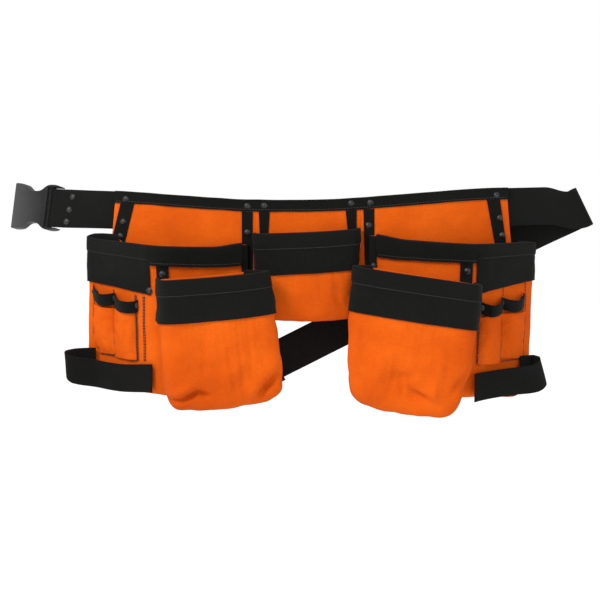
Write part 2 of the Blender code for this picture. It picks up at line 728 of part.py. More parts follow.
# Rivets through the strips and the doubled webbing.
RIVET_D = TRIM_D + TRIM
BELT_RIVETS = (
    ("rivet_loop_top", -0.3247, 0.0160, WEB_THICK),
    ("rivet_loop_middle", -0.3283, -0.0010, WEB_THICK),
    ("rivet_loop_bottom", -0.3308, -0.0170, WEB_THICK),
    ("rivet_left_top", -0.2445, 0.0160, RIVET_D),
    ("rivet_left_middle", -0.2487, -0.0150, RIVET_D),
    ("rivet_left_bottom", -0.2527, -0.0345, RIVET_D),
    ("rivet_left_join_top", -0.0805, 0.0170, RIVET_D),
    ("rivet_left_join_bottom", -0.0807, -0.0180, RIVET_D),
    ("rivet_centre_left", -0.0583, 0.0180, RIVET_D),
    ("rivet_centre_right", 0.0573, 0.0190, RIVET_D),
    ("rivet_right_join_top", 0.0827, 0.0180, RIVET_D),
    ("rivet_right_join_bottom", 0.0805, -0.0120, RIVET_D),
    ("rivet_right_top", 0.2533, 0.0165, RIVET_D),
    ("rivet_right_middle", 0.2582, -0.0145, RIVET_D),
)
for name, s, z, depth in BELT_RIVETS:
    belt_rivet(name, STEEL, s, z, depth)
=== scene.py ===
"""Looks of the canvas tool belt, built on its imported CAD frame. Metres, +Z up, front towards -Y."""
import math

import bmesh
import bpy
from mathutils import Matrix, Vector, noise


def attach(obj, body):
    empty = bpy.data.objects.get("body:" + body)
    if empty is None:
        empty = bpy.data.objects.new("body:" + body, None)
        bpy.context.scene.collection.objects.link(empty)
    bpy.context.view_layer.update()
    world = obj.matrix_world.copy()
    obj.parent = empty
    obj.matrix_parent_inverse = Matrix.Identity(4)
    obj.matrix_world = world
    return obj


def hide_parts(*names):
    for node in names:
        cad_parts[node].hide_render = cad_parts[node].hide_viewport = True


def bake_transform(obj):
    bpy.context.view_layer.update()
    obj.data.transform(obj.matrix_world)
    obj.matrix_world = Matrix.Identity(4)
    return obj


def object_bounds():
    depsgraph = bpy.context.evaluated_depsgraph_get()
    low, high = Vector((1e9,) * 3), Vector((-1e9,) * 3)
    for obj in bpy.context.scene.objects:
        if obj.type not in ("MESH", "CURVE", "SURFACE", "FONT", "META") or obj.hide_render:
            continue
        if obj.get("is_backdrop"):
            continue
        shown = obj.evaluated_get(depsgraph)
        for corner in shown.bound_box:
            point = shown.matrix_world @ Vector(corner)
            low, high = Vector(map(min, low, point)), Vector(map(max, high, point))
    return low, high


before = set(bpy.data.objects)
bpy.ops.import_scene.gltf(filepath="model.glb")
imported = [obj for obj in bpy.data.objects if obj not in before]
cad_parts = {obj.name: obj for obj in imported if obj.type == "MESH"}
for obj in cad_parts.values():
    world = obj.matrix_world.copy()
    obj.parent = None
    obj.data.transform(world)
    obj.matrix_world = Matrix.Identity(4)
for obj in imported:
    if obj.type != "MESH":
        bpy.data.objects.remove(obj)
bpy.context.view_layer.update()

SCENE = bpy.context.scene

# ---------------------------------------------------------------- sizes shared with the CAD
WEB_WIDTH = 0.0508
WEB_THICK = 0.0018
GAP = 0.0004
FLAT_HALF = 0.075
WING_RADIUS = 0.700
SAG_LEFT = 0.0105
SAG_RIGHT = 0.0145
END_TILT = math.tan(math.radians(14.0))
BELT_LEFT_END = -0.3565
BELT_TURN_START = 0.325
CANVAS = 0.0012
PANEL_D = WEB_THICK + GAP
TRIM_D = PANEL_D + CANVAS + GAP
TRIM = 0.0013
PANEL_TOP = 0.0254
PANEL_FOOT = -0.072
BINDING_HEIGHT = 0.0150
STRIP_WIDTH = 0.0145
STRIP_FOOT = -0.029
OUTER_STRIP_FOOT = -0.051
INNER_STRIP_FOOT = -0.068
LEFT_LEAN = 0.11
RIGHT_LEAN = 0.10
OUTER_LEAN = 0.20
BAND_GAP = 0.0005
BAND = 0.0016
TURN_TOP = Vector((0.3615, 0.0650, 0.0352))
TURN_FOOT = Vector((0.3865, 0.0685, -0.0140))
TURN_RADIUS = 0.0034
TAIL_SLOPE = math.radians(25.9)
TAIL_LENGTH = 0.495
TAIL_SWING_IN = math.radians(7.2)
SOCKET_KNOTS = (
    (-0.0120, 0.0290), (-0.0085, 0.0303), (-0.0020, 0.0310), (0.0058, 0.0303), (0.0108, 0.0277),
    (0.0150, 0.0243), (0.0190, 0.0222), (0.0250, 0.0215), (0.0312, 0.0218), (0.0355, 0.0238),
    (0.0395, 0.0272), (0.0440, 0.0301), (0.0562, 0.0313), (0.0580, 0.0305),
)
SOCKET_INNER = 0.0278
BUCKLE_THICK = 0.0150
BAR_RADIUS = 0.0024
LOOP_LENGTH = 0.052
BAR_LEAN = 0.015
NOTCH_END = 0.0064
WELL = ((0.0125, -0.0183, -0.0050), (0.0700, 0.0183, 0.0050))
WINDOW = ((0.0500, -0.0110, 0.0040), (0.0700, 0.0110, 0.0120))
LOOP_WIDTH = 0.0380
CLOTH_CELL = 0.0047
FRAMES = 20
CORNER_CUT = 20.0

SIDES = {
    "left": {
        "sign": -1.0,
        "top": ((0.0735, 0.0062), (0.1920, 0.0540), (0.2970, 0.0160), (0.2760, 0.0062)),
        "foot": ((0.0790, 0.0062), (0.1890, 0.0500), (0.2965, 0.0150), (0.2740, 0.0062)),
        "mouth": -0.0400,
        "floor": -0.2395,
        "loop_tilt": 0.06,
        "lip": 0.0060,
        "ramp_up": (0.0065, 0.1280, 0.0480, 0.0014),
        "back_end": 0.2565,
        "tools": (0.18, 0.570, 0.95),
        "tool_loops": (0.14, 0.96),
        "channel_ends": (0.455, 0.430, 0.775, 0.755),
        "loop_level": (0.415, 0.350),
        "folds": (
            (-0.0330, -0.1905, -0.0680, -0.2319, 0.0050, -0.0101),
            (-0.0420, -0.1755, -0.0800, -0.2245, 0.0100, 0.0049),
            (-0.1820, -0.2290, -0.1613, -0.2295, 0.0034, -0.0058),
            (-0.1639, -0.2295, -0.1420, -0.2182, 0.0036, -0.0094),
            (-0.1446, -0.2182, -0.1278, -0.2247, 0.0034, -0.0065),
            (-0.1742, -0.2205, -0.1485, -0.2090, 0.0060, 0.0058),
            (-0.0969, -0.1448, -0.1072, -0.2189, 0.0180, 0.0022),
            (-0.1445, -0.1380, -0.1316, -0.2004, 0.0140, -0.0020),
            (-0.1910, -0.1383, -0.1794, -0.2189, 0.0060, 0.0020),
        ),
        "seams": {"band": 0.76, "feet": (0.325, 0.250), "strip": (0.04, 0.50), "doubles": (-3.3, -3.9)},
        "droop": 0.0,
        "pouch_top": ((0.0850, 0.0180), (0.0420, 0.0600), (0.1770, 0.1060), (0.1870, 0.0640)),
        "pouch_foot": ((0.0850, 0.0180), (0.0180, 0.0580), (0.1640, 0.1010), (0.1780, 0.0600)),
        "pouch_mouth": -0.0640,
        "pouch_floor": -0.2315,
        "pouch_droop": 0.12,
        "cut_start": 1.0,
        "loop": (0.06, 0.815, 0.001, 0.036),
        "loop_heights": ((0.0, -0.2154), (0.17, -0.2203), (0.42, -0.2095), (0.56, -0.2000), (0.78, -0.2020),
                         (1.0, -0.2033)),
    },
    "right": {
        "sign": 1.0,
        "top": ((0.0735, 0.0062), (0.2140, 0.0540), (0.3070, 0.0180), (0.2860, 0.0062)),
        "foot": ((0.0790, 0.0062), (0.2100, 0.0500), (0.3030, 0.0160), (0.2820, 0.0062)),
        "mouth": -0.0320,
        "floor": -0.2400,
        "loop_tilt": 0.28,
        "lip": 0.0,
        "ramp_up": (0.0075, 0.1350, 0.0550, 0.0030),
        "back_end": 0.320,
        "tools": (-0.20, 0.330, 0.86),
        "tool_loops": (-0.14, 0.82),
        "channel_ends": (0.470, 0.430, 0.775, 0.740),
        "loop_level": (0.415, 0.360),
        "folds": (
            (0.1083, -0.2026, 0.1316, -0.2000, 0.0080, -0.0060),
            (0.1161, -0.2078, 0.1496, -0.2364, 0.0090, -0.0092),
            (0.1702, -0.1844, 0.1625, -0.2286, 0.0065, 0.0068),
            (0.1496, -0.1714, 0.1857, -0.1974, 0.0120, 0.0040),
            (0.1006, -0.1714, 0.0825, -0.2234, 0.0120, 0.0044),
            (0.1341, -0.2234, 0.1599, -0.2312, 0.0050, -0.0060),
            (0.1857, -0.2234, 0.2012, -0.1974, 0.0060, -0.0044),
            (0.0619, -0.1328, 0.0567, -0.1978, 0.0080, 0.0032),
        ),
        "seams": {"band": 0.47, "feet": (0.325, 0.185), "strip": (-0.10, 0.32), "doubles": ()},
        "droop": 0.08,
        "pouch_top": ((0.0850, 0.0190), (0.0515, 0.0590), (0.2060, 0.1080), (0.2060, 0.0680)),
        "pouch_foot": ((0.0850, 0.0190), (0.0450, 0.0570), (0.1810, 0.1030), (0.1910, 0.0640)),
        "pouch_mouth": -0.0570,
        "pouch_floor": -0.2350,
        "pouch_droop": 0.225,
        "cut_start": 0.157,
        "loop": (-0.02, 0.72, -0.006, 0.034),
        "loop_heights": ((0.0, -0.2340), (0.18, -0.2316), (0.38, -0.2275), (0.56, -0.2155), (0.78, -0.2175),
                         (1.0, -0.2190)),
    },
}


def smooth(t):
    t = min(max(t, 0.0), 1.0)
    return t * t * (3.0 - 2.0 * t)


def mix(a, b, t):
    return a + (b - a) * t


def curve_through(knots, u):
    """The value at u of a smooth curve through (place, value) knots."""
    k = 0
    while k < len(knots) - 2 and knots[k + 1][0] < u:
        k += 1
    (u0, v0), (u1, v1) = knots[k:k + 2]
    slopes = []
    for j in (k, k + 1):
        a = knots[max(j - 1, 0)]
        b = knots[min(j + 1, len(knots) - 1)]
        slopes.append((b[1] - a[1]) / (b[0] - a[0]) * (u1 - u0))
    t = (u - u0) / (u1 - u0)
    rise = (t**3 - 2 * t**2 + t) * slopes[0] + (t**3 - t**2) * slopes[1]
    return mix(v0, v1, smooth(t)) + rise


def sag(s):
    """How much higher the belt's ends lie than its middle."""
    return SAG_LEFT * smooth((-s - 0.050) / 0.230) + SAG_RIGHT * smooth((s + 0.010) / 0.270)


def place(s, d, z):
    """The point s along the belt, d in front of the webbing's back face and z above its midline."""
    side = math.copysign(1.0, s)
    d -= z * END_TILT * smooth((-s - 0.265) / 0.080)
    angle = max(abs(s) - FLAT_HALF, 0.0) / WING_RADIUS
    along = min(abs(s), FLAT_HALF) + WING_RADIUS * math.sin(angle)
    back = WING_RADIUS * (1.0 - math.cos(angle))
    return Vector((side * (along + d * math.sin(angle)), back - d * math.cos(angle), z + sag(s)))


# ---------------------------------------------------------------- materials
def new_material(name):
    made = bpy.data.materials.new(name)
    made.use_nodes = True
    tree = made.node_tree
    return made, tree, tree.nodes["Principled BSDF"]


def node(tree, kind, **values):
    made = tree.nodes.new(kind)
    for key, value in values.items():
        if key in made.inputs:
            made.inputs[key].default_value = value
        else:
            setattr(made, key, value)
    return made


def math_node(tree, operation, a, b):
    made = tree.nodes.new("ShaderNodeMath")
    made.operation = operation
    for i, value in enumerate((a, b)):
        if isinstance(value, (int, float)):
            made.inputs[i].default_value = value
        else:
            tree.links.new(value, made.inputs[i])
    return made.outputs[0]


def object_noise(tree, scale, detail, roughness=0.5):
    """Noise fixed to the object, so that it stays put when the piece moves."""
    coords = tree.nodes.new("ShaderNodeTexCoord")
    made = node(tree, "ShaderNodeTexNoise", Scale=scale, Detail=detail, Roughness=roughness)
    tree.links.new(coords.outputs["Object"], made.inputs["Vector"])
    return made.outputs[0]


def bump(tree, shader, height, strength, distance):
    lift = node(tree, "ShaderNodeBump", Strength=strength, Distance=distance)
    tree.links.new(height, lift.inputs["Height"])
    tree.links.new(lift.outputs[0], shader.inputs["Normal"])


def ramp(tree, source, stops):
    made = tree.nodes.new("ShaderNodeValToRGB")
    tree.links.new(source, made.inputs[0])
    band = made.color_ramp
    while len(band.elements) < len(stops):
        band.elements.new(0.5)
    for element, (at, colour) in zip(band.elements, stops):
        element.position = at
        element.color = (*colour, 1.0)
    return made.outputs[0]


def weave_height(tree, uv, pitch_u, pitch_v):
    """Threads over and under: a sine along each direction of the cloth, added."""
    parts = tree.nodes.new("ShaderNodeSeparateXYZ")
    tree.links.new(uv, parts.inputs[0])
    u = math_node(tree, "SINE", math_node(tree, "MULTIPLY", parts.outputs[0], 2 * math.pi / pitch_u), 0.0)
    v = math_node(tree, "SINE", math_node(tree, "MULTIPLY", parts.outputs[1], 2 * math.pi / pitch_v), 0.0)
    return math_node(tree, "ADD", u, v)


def cloth_material(name, shades, roughness, pitch, ribs, sheen, depth, gloss, uneven=0.5):
    """Woven cloth: colour that varies in broad patches and thread by thread, with a woven bump."""
    made, tree, shader = new_material(name)
    link = tree.links.new
    uv = tree.nodes.new("ShaderNodeUVMap")
    uv.uv_map = "cloth"
    broad = object_noise(tree, 9.0, 5.0, 0.6)
    fine = object_noise(tree, 420.0, 2.0, 0.6)
    slub = node(tree, "ShaderNodeTexNoise", Scale=1.0, Detail=3.0)
    stretch = node(tree, "ShaderNodeMapping")
    stretch.inputs["Scale"].default_value = (60.0, 900.0, 60.0)
    link(uv.outputs[0], stretch.inputs["Vector"])
    link(stretch.outputs[0], slub.inputs["Vector"])
    threads = math_node(tree, "ADD", math_node(tree, "MULTIPLY", fine, 0.60 * (1 - uneven)),
                        math_node(tree, "MULTIPLY", slub.outputs[0], 0.40 * (1 - uneven)))
    blend = math_node(tree, "ADD", math_node(tree, "MULTIPLY", broad, uneven), threads)
    colour = ramp(tree, blend, ((0.34, shades[0]), (0.5, shades[1]), (0.66, shades[2])))
    link(colour, shader.inputs["Base Color"])
    rough = math_node(tree, "ADD", math_node(tree, "MULTIPLY", fine, 0.18), roughness - 0.09)
    link(rough, shader.inputs["Roughness"])
    shader.inputs["Sheen Weight"].default_value = sheen
    shader.inputs["Sheen Roughness"].default_value = 0.5
    shader.inputs["Specular IOR Level"].default_value = gloss
    weave = weave_height(tree, uv.outputs[0], pitch, pitch * ribs)
    bump(tree, shader, math_node(tree, "ADD", weave, math_node(tree, "MULTIPLY", slub.outputs[0], 0.9)),
         1.0, depth)
    return made


ORANGE = cloth_material(
    "orange_canvas", ((0.430, 0.0540, 0.0014), (0.520, 0.0740, 0.0022), (0.610, 0.0980, 0.0042)),
    roughness=0.88, pitch=0.0011, ribs=1.0, sheen=0.0, depth=0.00006, gloss=0.08, uneven=0.72)
BLACK = cloth_material(
    "black_webbing", ((0.0010, 0.0010, 0.0008), (0.0018, 0.0018, 0.0014), (0.0034, 0.0034, 0.0028)),
    roughness=0.80, pitch=0.0014, ribs=0.45, sheen=0.02, depth=0.00010, gloss=0.13)


def plastic_material():
    """Moulded plastic with fine grain and scuffs, and a painted highlight: paler towards the belt's left
    end, darker to the right.
    """
    made, tree, shader = new_material("black_plastic")
    link = tree.links.new
    grain = object_noise(tree, 900.0, 2.0)
    scuffs = object_noise(tree, 38.0, 6.0, 0.7)
    coords = tree.nodes.new("ShaderNodeTexCoord")
    place_x = tree.nodes.new("ShaderNodeSeparateXYZ")
    link(coords.outputs["Object"], place_x.inputs[0])
    # Painted highlight and shade: the base colour is paler at the socket's left end and darker to its right,
    # standing in for light on a curved face; the scuffs mixed in are real wear.
    painted_shade_and_scuffs = math_node(tree, "ADD", math_node(tree, "MULTIPLY", place_x.outputs[0], -20.0),
                      math_node(tree, "SUBTRACT", math_node(tree, "MULTIPLY", scuffs, 0.3), 7.35))
    link(ramp(tree, painted_shade_and_scuffs, ((0.05, (0.0060, 0.0060, 0.0060)), (0.90, (0.040, 0.041, 0.040)))),
         shader.inputs["Base Color"])
    shader.inputs["Specular IOR Level"].default_value = 0.16
    link(math_node(tree, "ADD", math_node(tree, "MULTIPLY", scuffs, 0.22), 0.38), shader.inputs["Roughness"])
    bump(tree, shader, grain, 0.5, 0.00004)
    return made


def rivet_material():
    made, tree, shader = new_material("dark_rivet")
    wear = object_noise(tree, 260.0, 5.0, 0.65)
    tree.links.new(ramp(tree, wear, ((0.40, (0.016, 0.016, 0.016)), (0.68, (0.048, 0.048, 0.050)))),
                   shader.inputs["Base Color"])
    shader.inputs["Metallic"].default_value = 0.75
    tree.links.new(math_node(tree, "ADD", math_node(tree, "MULTIPLY", wear, 0.3), 0.28),
                   shader.inputs["Roughness"])
    return made


def thread_material():
    made, tree, shader = new_material("black_thread")
    twist = object_noise(tree, 1500.0, 1.0)
    tree.links.new(ramp(tree, twist, ((0.3, (0.010, 0.010, 0.009)), (0.7, (0.030, 0.030, 0.028)))),
                   shader.inputs["Base Color"])
    shader.inputs["Roughness"].default_value = 0.7
    return made


PLASTIC = plastic_material()
STEEL = rivet_material()
THREAD = thread_material()


# ---------------------------------------------------------------- mesh helpers
SOFT_EDGE = 0.0003
SEAM_LIFT = 0.0001


def link_object(name, data, look, body, nodes=(), sharp=50.0):
    data.materials.append(look)
    data.shade_smooth()
    data.set_sharp_from_angle(angle=math.radians(sharp))
    made = bpy.data.objects.new(name, data)
    SCENE.collection.objects.link(made)
    if body:
        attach(made, body)
    if nodes:
        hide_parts(*nodes)
    return made


def bake(target):
    """Keeps what an object's modifiers make as its own mesh."""
    graph = bpy.context.evaluated_depsgraph_get()
    done = bpy.data.meshes.new_from_object(target.evaluated_get(graph), depsgraph=graph)
    target.modifiers.clear()
    target.data = done


def lengths(points):
    total = [0.0]
    for a, b in zip(points, points[1:]):
        total.append(total[-1] + (b - a).length)
    return total


def grid_data(name, rows, wrap=False, floor=False, flip=False):
    """An open sheet through rows of points, with a map in metres along and across it."""
    mesh = bmesh.new()
    layer = mesh.loops.layers.uv.new("cloth")
    verts = [[mesh.verts.new(p) for p in row] for row in rows]
    count = len(rows[0])
    middle = rows[len(rows) // 2]
    along = lengths(list(middle) + ([middle[0]] if wrap else []))
    across = lengths([row[count // 3] for row in rows])
    steps = count if wrap else count - 1
    for r in range(len(rows) - 1):
        for c in range(steps):
            n = (c + 1) % count
            corners = [(r, c, c), (r, n, c + 1), (r + 1, n, c + 1), (r + 1, c, c)]
            if flip:
                corners.reverse()
            face = mesh.faces.new([verts[i][j] for i, j, _ in corners])
            for loop, (i, _, k) in zip(face.loops, corners):
                loop[layer].uv = (along[k], across[i])
    if floor:
        last = verts[-1]
        hub = mesh.verts.new(sum((v.co for v in last), Vector()) / count)
        for c in range(count):
            trio = [last[c], last[(c + 1) % count], hub]
            if flip:
                trio.reverse()
            face = mesh.faces.new(trio)
            for loop in face.loops:
                loop[layer].uv = (loop.vert.co.x, loop.vert.co.y)
    data = bpy.data.meshes.new(name)
    mesh.to_mesh(data)
    mesh.free()
    return data


def outward_ok(rows, away):
    """Whether the sheet's faces look along the given direction."""
    r = len(rows) // 2
    c = len(rows[0]) // 2
    a = rows[r][c + 1] - rows[r][c]
    b = rows[r + 1][c] - rows[r][c]
    return (a.cross(b)).dot(away) > 0


def thicken(made, thick, offset=1.0, edge=0.0):
    step = made.modifiers.new("thickness", "SOLIDIFY")
    step.thickness = thick
    step.offset = offset
    step.use_even_offset = False
    if edge:
        soft = made.modifiers.new("edge", "BEVEL")
        soft.width = edge
        soft.segments = 2
        soft.limit_method = "ANGLE"
        soft.angle_limit = math.radians(50.0)
    return made


def skin(name, rows, thick, look, body, nodes, away):
    """A cloth piece: rows give its inner face, and its thickness is added on the side away points to."""
    flip = not outward_ok(rows, away)
    made = link_object(name, grid_data(name, rows, flip=flip), look, body, nodes)
    return thicken(made, thick, 1.0, SOFT_EDGE)


def crumple(p, seed, size, amount):
    return noise.noise(Vector((p.x, p.y, p.z)) / size + Vector((seed * 7.3, seed * 3.1, seed))) * amount


def belt_patch(name, near, far, foot, top, depth, thick, look, nodes=(), leans=(0.0, 0.0), steps=12,
               rows=8, wave=0.0004, seed=1.0, profile=None):
    """A piece sewn flat along the belt, gently uneven as cloth is."""
    made = []
    for r in range(rows + 1):
        z = mix(top, foot, r / rows)
        row = []
        for c in range(steps + 1):
            s = mix(near + leans[0] * (top - z), far + leans[1] * (top - z), c / steps)
            p = place(s, depth, z)
            d = depth + abs(crumple(p, seed, 0.022, wave))
            if profile:
                d += profile(r / rows)
            edge = crumple(p, seed + 5, 0.030, 0.0005)
            row.append(place(s, d, z + (edge if r in (0, rows) else 0.0)))
        made.append(row)
    return skin(name, made, thick, look, "belt", nodes,
                away=Vector((0, -1, 0)))


def capsule_run(mesh, points, normals, pitch, length, radius):
    """Stitches along a path, each a short fat thread lying on the cloth."""
    total = lengths(points)
    if total[-1] < pitch:
        return
    count = int(total[-1] / pitch)
    for k in range(count):
        at = (k + 0.5) * total[-1] / count
        i = max(j for j in range(len(total)) if total[j] <= at)
        i = min(i, len(points) - 2)
        t = (at - total[i]) / max(total[i + 1] - total[i], 1e-9)
        p = points[i].lerp(points[i + 1], t)
        n = normals[i].lerp(normals[i + 1], t).normalized()
        way = (points[i + 1] - points[i]).normalized()
        side = way.cross(n).normalized()
        rings = []
        for j, (u, w) in enumerate(((-1.0, 0.25), (-0.7, 0.85), (0.0, 1.0), (0.7, 0.85), (1.0, 0.25))):
            ring = []
            for q in range(6):
                a = math.pi * 2 * q / 6
                ring.append(mesh.verts.new(p + n * SEAM_LIFT + way * (u * length / 2)
                                           + (side * math.cos(a) + n * math.sin(a)) * (radius * w)))
            rings.append(ring)
        for a, b in zip(rings, rings[1:]):
            for q in range(6):
                mesh.faces.new((a[q], a[(q + 1) % 6], b[(q + 1) % 6], b[q]))
        mesh.faces.new(list(reversed(rings[0])))
        mesh.faces.new(rings[-1])


def stitches(name, runs, pitch=0.0042, length=0.0032, radius=0.00040):
    """One piece holding every stitch of a seam or a group of seams."""
    mesh = bmesh.new()
    for points, normals in runs:
        capsule_run(mesh, points, normals, pitch, length, radius)
    bmesh.ops.recalc_face_normals(mesh, faces=mesh.faces[:])
    data = bpy.data.meshes.new(name)
    mesh.to_mesh(data)
    mesh.free()
    return link_object(name, data, THREAD, "belt")


RIVET_PROFILE = ((0.0042, 0.0), (0.0043, 0.0004), (0.0039, 0.0007), (0.0037, 0.0008), (0.0033, 0.0013),
                 (0.0026, 0.0018), (0.0015, 0.0021), (0.0, 0.0022))
RIVET_SIDES = 20


def rivet(name, base, out, nodes=()):
    """A domed rivet with a thin washer edge, standing at base and facing out."""
    mesh = bmesh.new()
    turn = out.to_track_quat("Z", "Y").to_matrix()
    rings = []
    for radius, height in RIVET_PROFILE[:-1]:
        spots = [Vector((radius * math.cos(a), radius * math.sin(a), height))
                 for a in (2 * math.pi * k / RIVET_SIDES for k in range(RIVET_SIDES))]
        rings.append([mesh.verts.new(base + turn @ spot) for spot in spots])
    for a, b in zip(rings, rings[1:]):
        for k in range(RIVET_SIDES):
            n = (k + 1) % RIVET_SIDES
            mesh.faces.new((a[k], a[n], b[n], b[k]))
    hub = mesh.verts.new(base + turn @ Vector((0, 0, RIVET_PROFILE[-1][1])))
    for k in range(RIVET_SIDES):
        mesh.faces.new((rings[-1][k], rings[-1][(k + 1) % RIVET_SIDES], hub))
    mesh.faces.new(list(reversed(rings[0])))
    data = bpy.data.meshes.new(name)
    mesh.to_mesh(data)
    mesh.free()
    return link_object(name, data, STEEL, "belt", nodes)


# ---------------------------------------------------------------- pockets
class Bag:
    """A pocket whose plan is a rounded polygon in belt coordinates, tapering from mouth to floor."""

    def __init__(self, top, foot, radii, mouth, floor, droop, hinge, round_foot, belly):
        self.top = top
        self.foot = foot
        self.radii = radii
        self.mouth = mouth
        self.floor = floor
        self.droop = droop
        self.hinge = hinge
        self.round_foot = round_foot
        self.belly = belly
        self.lip = 0.0
        self.back = 0.0
        self.back_end = 0.0
        self.tilt = 0.0
        self.cut_start = 1.0
        self.ramp_up = (0.0, 0.1, 0.1, 0.0)
        first = self.corners(0.0, 0.0)
        self.side_steps = []
        for i, p in enumerate(first):
            length = (first[(i + 1) % len(first)] - p).length
            self.side_steps.append(max(3, round(length / CLOTH_CELL)))
        self.arc_steps = [max(3, round(1.6 * r / CLOTH_CELL)) for r in radii]

    def corners(self, t, out):
        plan = [Vector((mix(a[0], b[0], t), mix(a[1], b[1], t))) for a, b in zip(self.top, self.foot)]
        area = sum(p.x * q.y - q.x * p.y for p, q in zip(plan, plan[1:] + plan[:1]))
        side = 1.0 if area > 0 else -1.0
        moved = []
        for i, p in enumerate(plan):
            before = (p - plan[i - 1]).normalized()
            after = (plan[(i + 1) % len(plan)] - p).normalized()
            n1 = Vector((before.y, -before.x)) * side
            n2 = Vector((after.y, -after.x)) * side
            moved.append(p + (n1 + n2) * (out / (1.0 + n1.dot(n2))))
        return moved

    def ring(self, t, out):
        points = self.corners(t, out)
        count = len(points)
        arcs = []
        for i, p in enumerate(points):
            before = points[i - 1] - p
            after = points[(i + 1) % count] - p
            half = before.angle(after) / 2.0
            reach = max(self.radii[i] + out, 0.0008) / math.tan(half)
            reach = min(reach, 0.46 * before.length, 0.46 * after.length)
            a = p + before.normalized() * reach
            b = p + after.normalized() * reach
            n = self.arc_steps[i]
            arcs.append([mix(mix(a, p, u), mix(p, b, u), u) for u in (k / n for k in range(n + 1))])
        ring = []
        for i in range(count):
            ring.extend(arcs[i])
            n = self.side_steps[i]
            ring.extend(mix(arcs[i][-1], arcs[(i + 1) % count][0], k / n) for k in range(1, n))
        return ring

    def arc_start(self, corner):
        """The ring's index where a corner's arc starts."""
        return sum(self.arc_steps[i] + self.side_steps[i] for i in range(corner))

    def column(self, corner):
        """The ring's index where a corner's arc ends."""
        return self.arc_start(corner) + self.arc_steps[corner]

    def height(self, s, t):
        drop = self.droop * max(abs(s) - self.hinge, 0.0)
        return mix(self.mouth, self.floor, t) - drop + self.tilt * s * (1.0 - t)

    def swell(self, t):
        out = self.belly * math.sin(math.pi * min(max(t, 0.0), 1.0))
        rise = (1.0 - t) * (self.mouth - self.floor)
        if rise < self.round_foot:
            fall = 1.0 - rise / self.round_foot
            out -= self.round_foot * (1.0 - math.sqrt(max(1.0 - fall * fall, 0.0))) * 0.8
        return out

    def row(self, t):
        """The ring of points at the share t of the depth."""
        ring = self.ring(t, self.swell(t))
        behind = self.column(3) - 1
        made = []
        for i, p in enumerate(ring):
            near = smooth((0.024 - p.y) / 0.014)
            rise = self.lip * smooth((abs(p.x) - 0.200) / 0.040) * near
            if i > behind:
                share = (i - behind) / (len(ring) - behind)
                ends = smooth((self.back_end - abs(p.x)) / 0.009) * smooth((1.0 - share) / 0.10)
                rise -= self.back * ends
            height, start, span, dip = self.ramp_up
            rise += height * smooth((start - abs(p.x)) / span)
            rise -= dip * math.sin(math.pi * min(max((abs(p.x) - start) / 0.150, 0.0), 1.0))
            cut = CORNER_CUT * max(abs(p.x) - self.cut_start, 0.0) ** 2 * smooth((t - 0.55) / 0.45)
            made.append(place(p.x, p.y, self.height(p.x, t) + rise * (1.0 - t) ** 6 + cut))
        return made

    def levels(self):
        depth = self.mouth - self.floor
        body = round((depth - self.round_foot) / CLOTH_CELL)
        made = [k / body * (1.0 - self.round_foot / depth) for k in range(body + 1)]
        curl = max(4, round(1.5 * self.round_foot / CLOTH_CELL))
        for k in range(1, curl + 1):
            rise = self.round_foot * (1.0 - math.sin(0.5 * math.pi * k / curl))
            made.append(1.0 - rise / depth)
        return made


def relax_cloth(made, weights, pressure, slack, limit):
    """Lets a bag's cloth settle under its weight and fill, then keeps the shape.

    No point moves further than the limit.
    """
    rest = [v.co.copy() for v in made.data.vertices]
    group = made.vertex_groups.new(name="held")
    for index, weight in enumerate(weights):
        group.add([index], weight, "REPLACE")
    step = made.modifiers.new("settle", "CLOTH")
    cloth = step.settings
    cloth.quality = 8
    cloth.mass = 0.15
    cloth.tension_stiffness = 12.0
    cloth.compression_stiffness = 8.0
    cloth.shear_stiffness = 4.0
    cloth.bending_stiffness = 0.25
    cloth.vertex_group_mass = "held"
    cloth.pin_stiffness = 4.0
    cloth.use_pressure = True
    cloth.uniform_pressure_force = pressure
    cloth.shrink_min = -slack
    step.collision_settings.use_collision = False
    step.collision_settings.use_self_collision = False
    step.point_cache.frame_start = 1
    step.point_cache.frame_end = FRAMES
    for k in range(1, FRAMES + 1):
        SCENE.frame_set(k)
    graph = bpy.context.evaluated_depsgraph_get()
    settled = [v.co.copy() for v in made.evaluated_get(graph).data.vertices]
    made.modifiers.remove(step)
    made.vertex_groups.remove(group)
    SCENE.frame_set(1)
    for vert, start, end in zip(made.data.vertices, rest, settled):
        move = end - start
        if move.length > limit:
            move = move.normalized() * limit
        vert.co = start + move
    made.data.update()


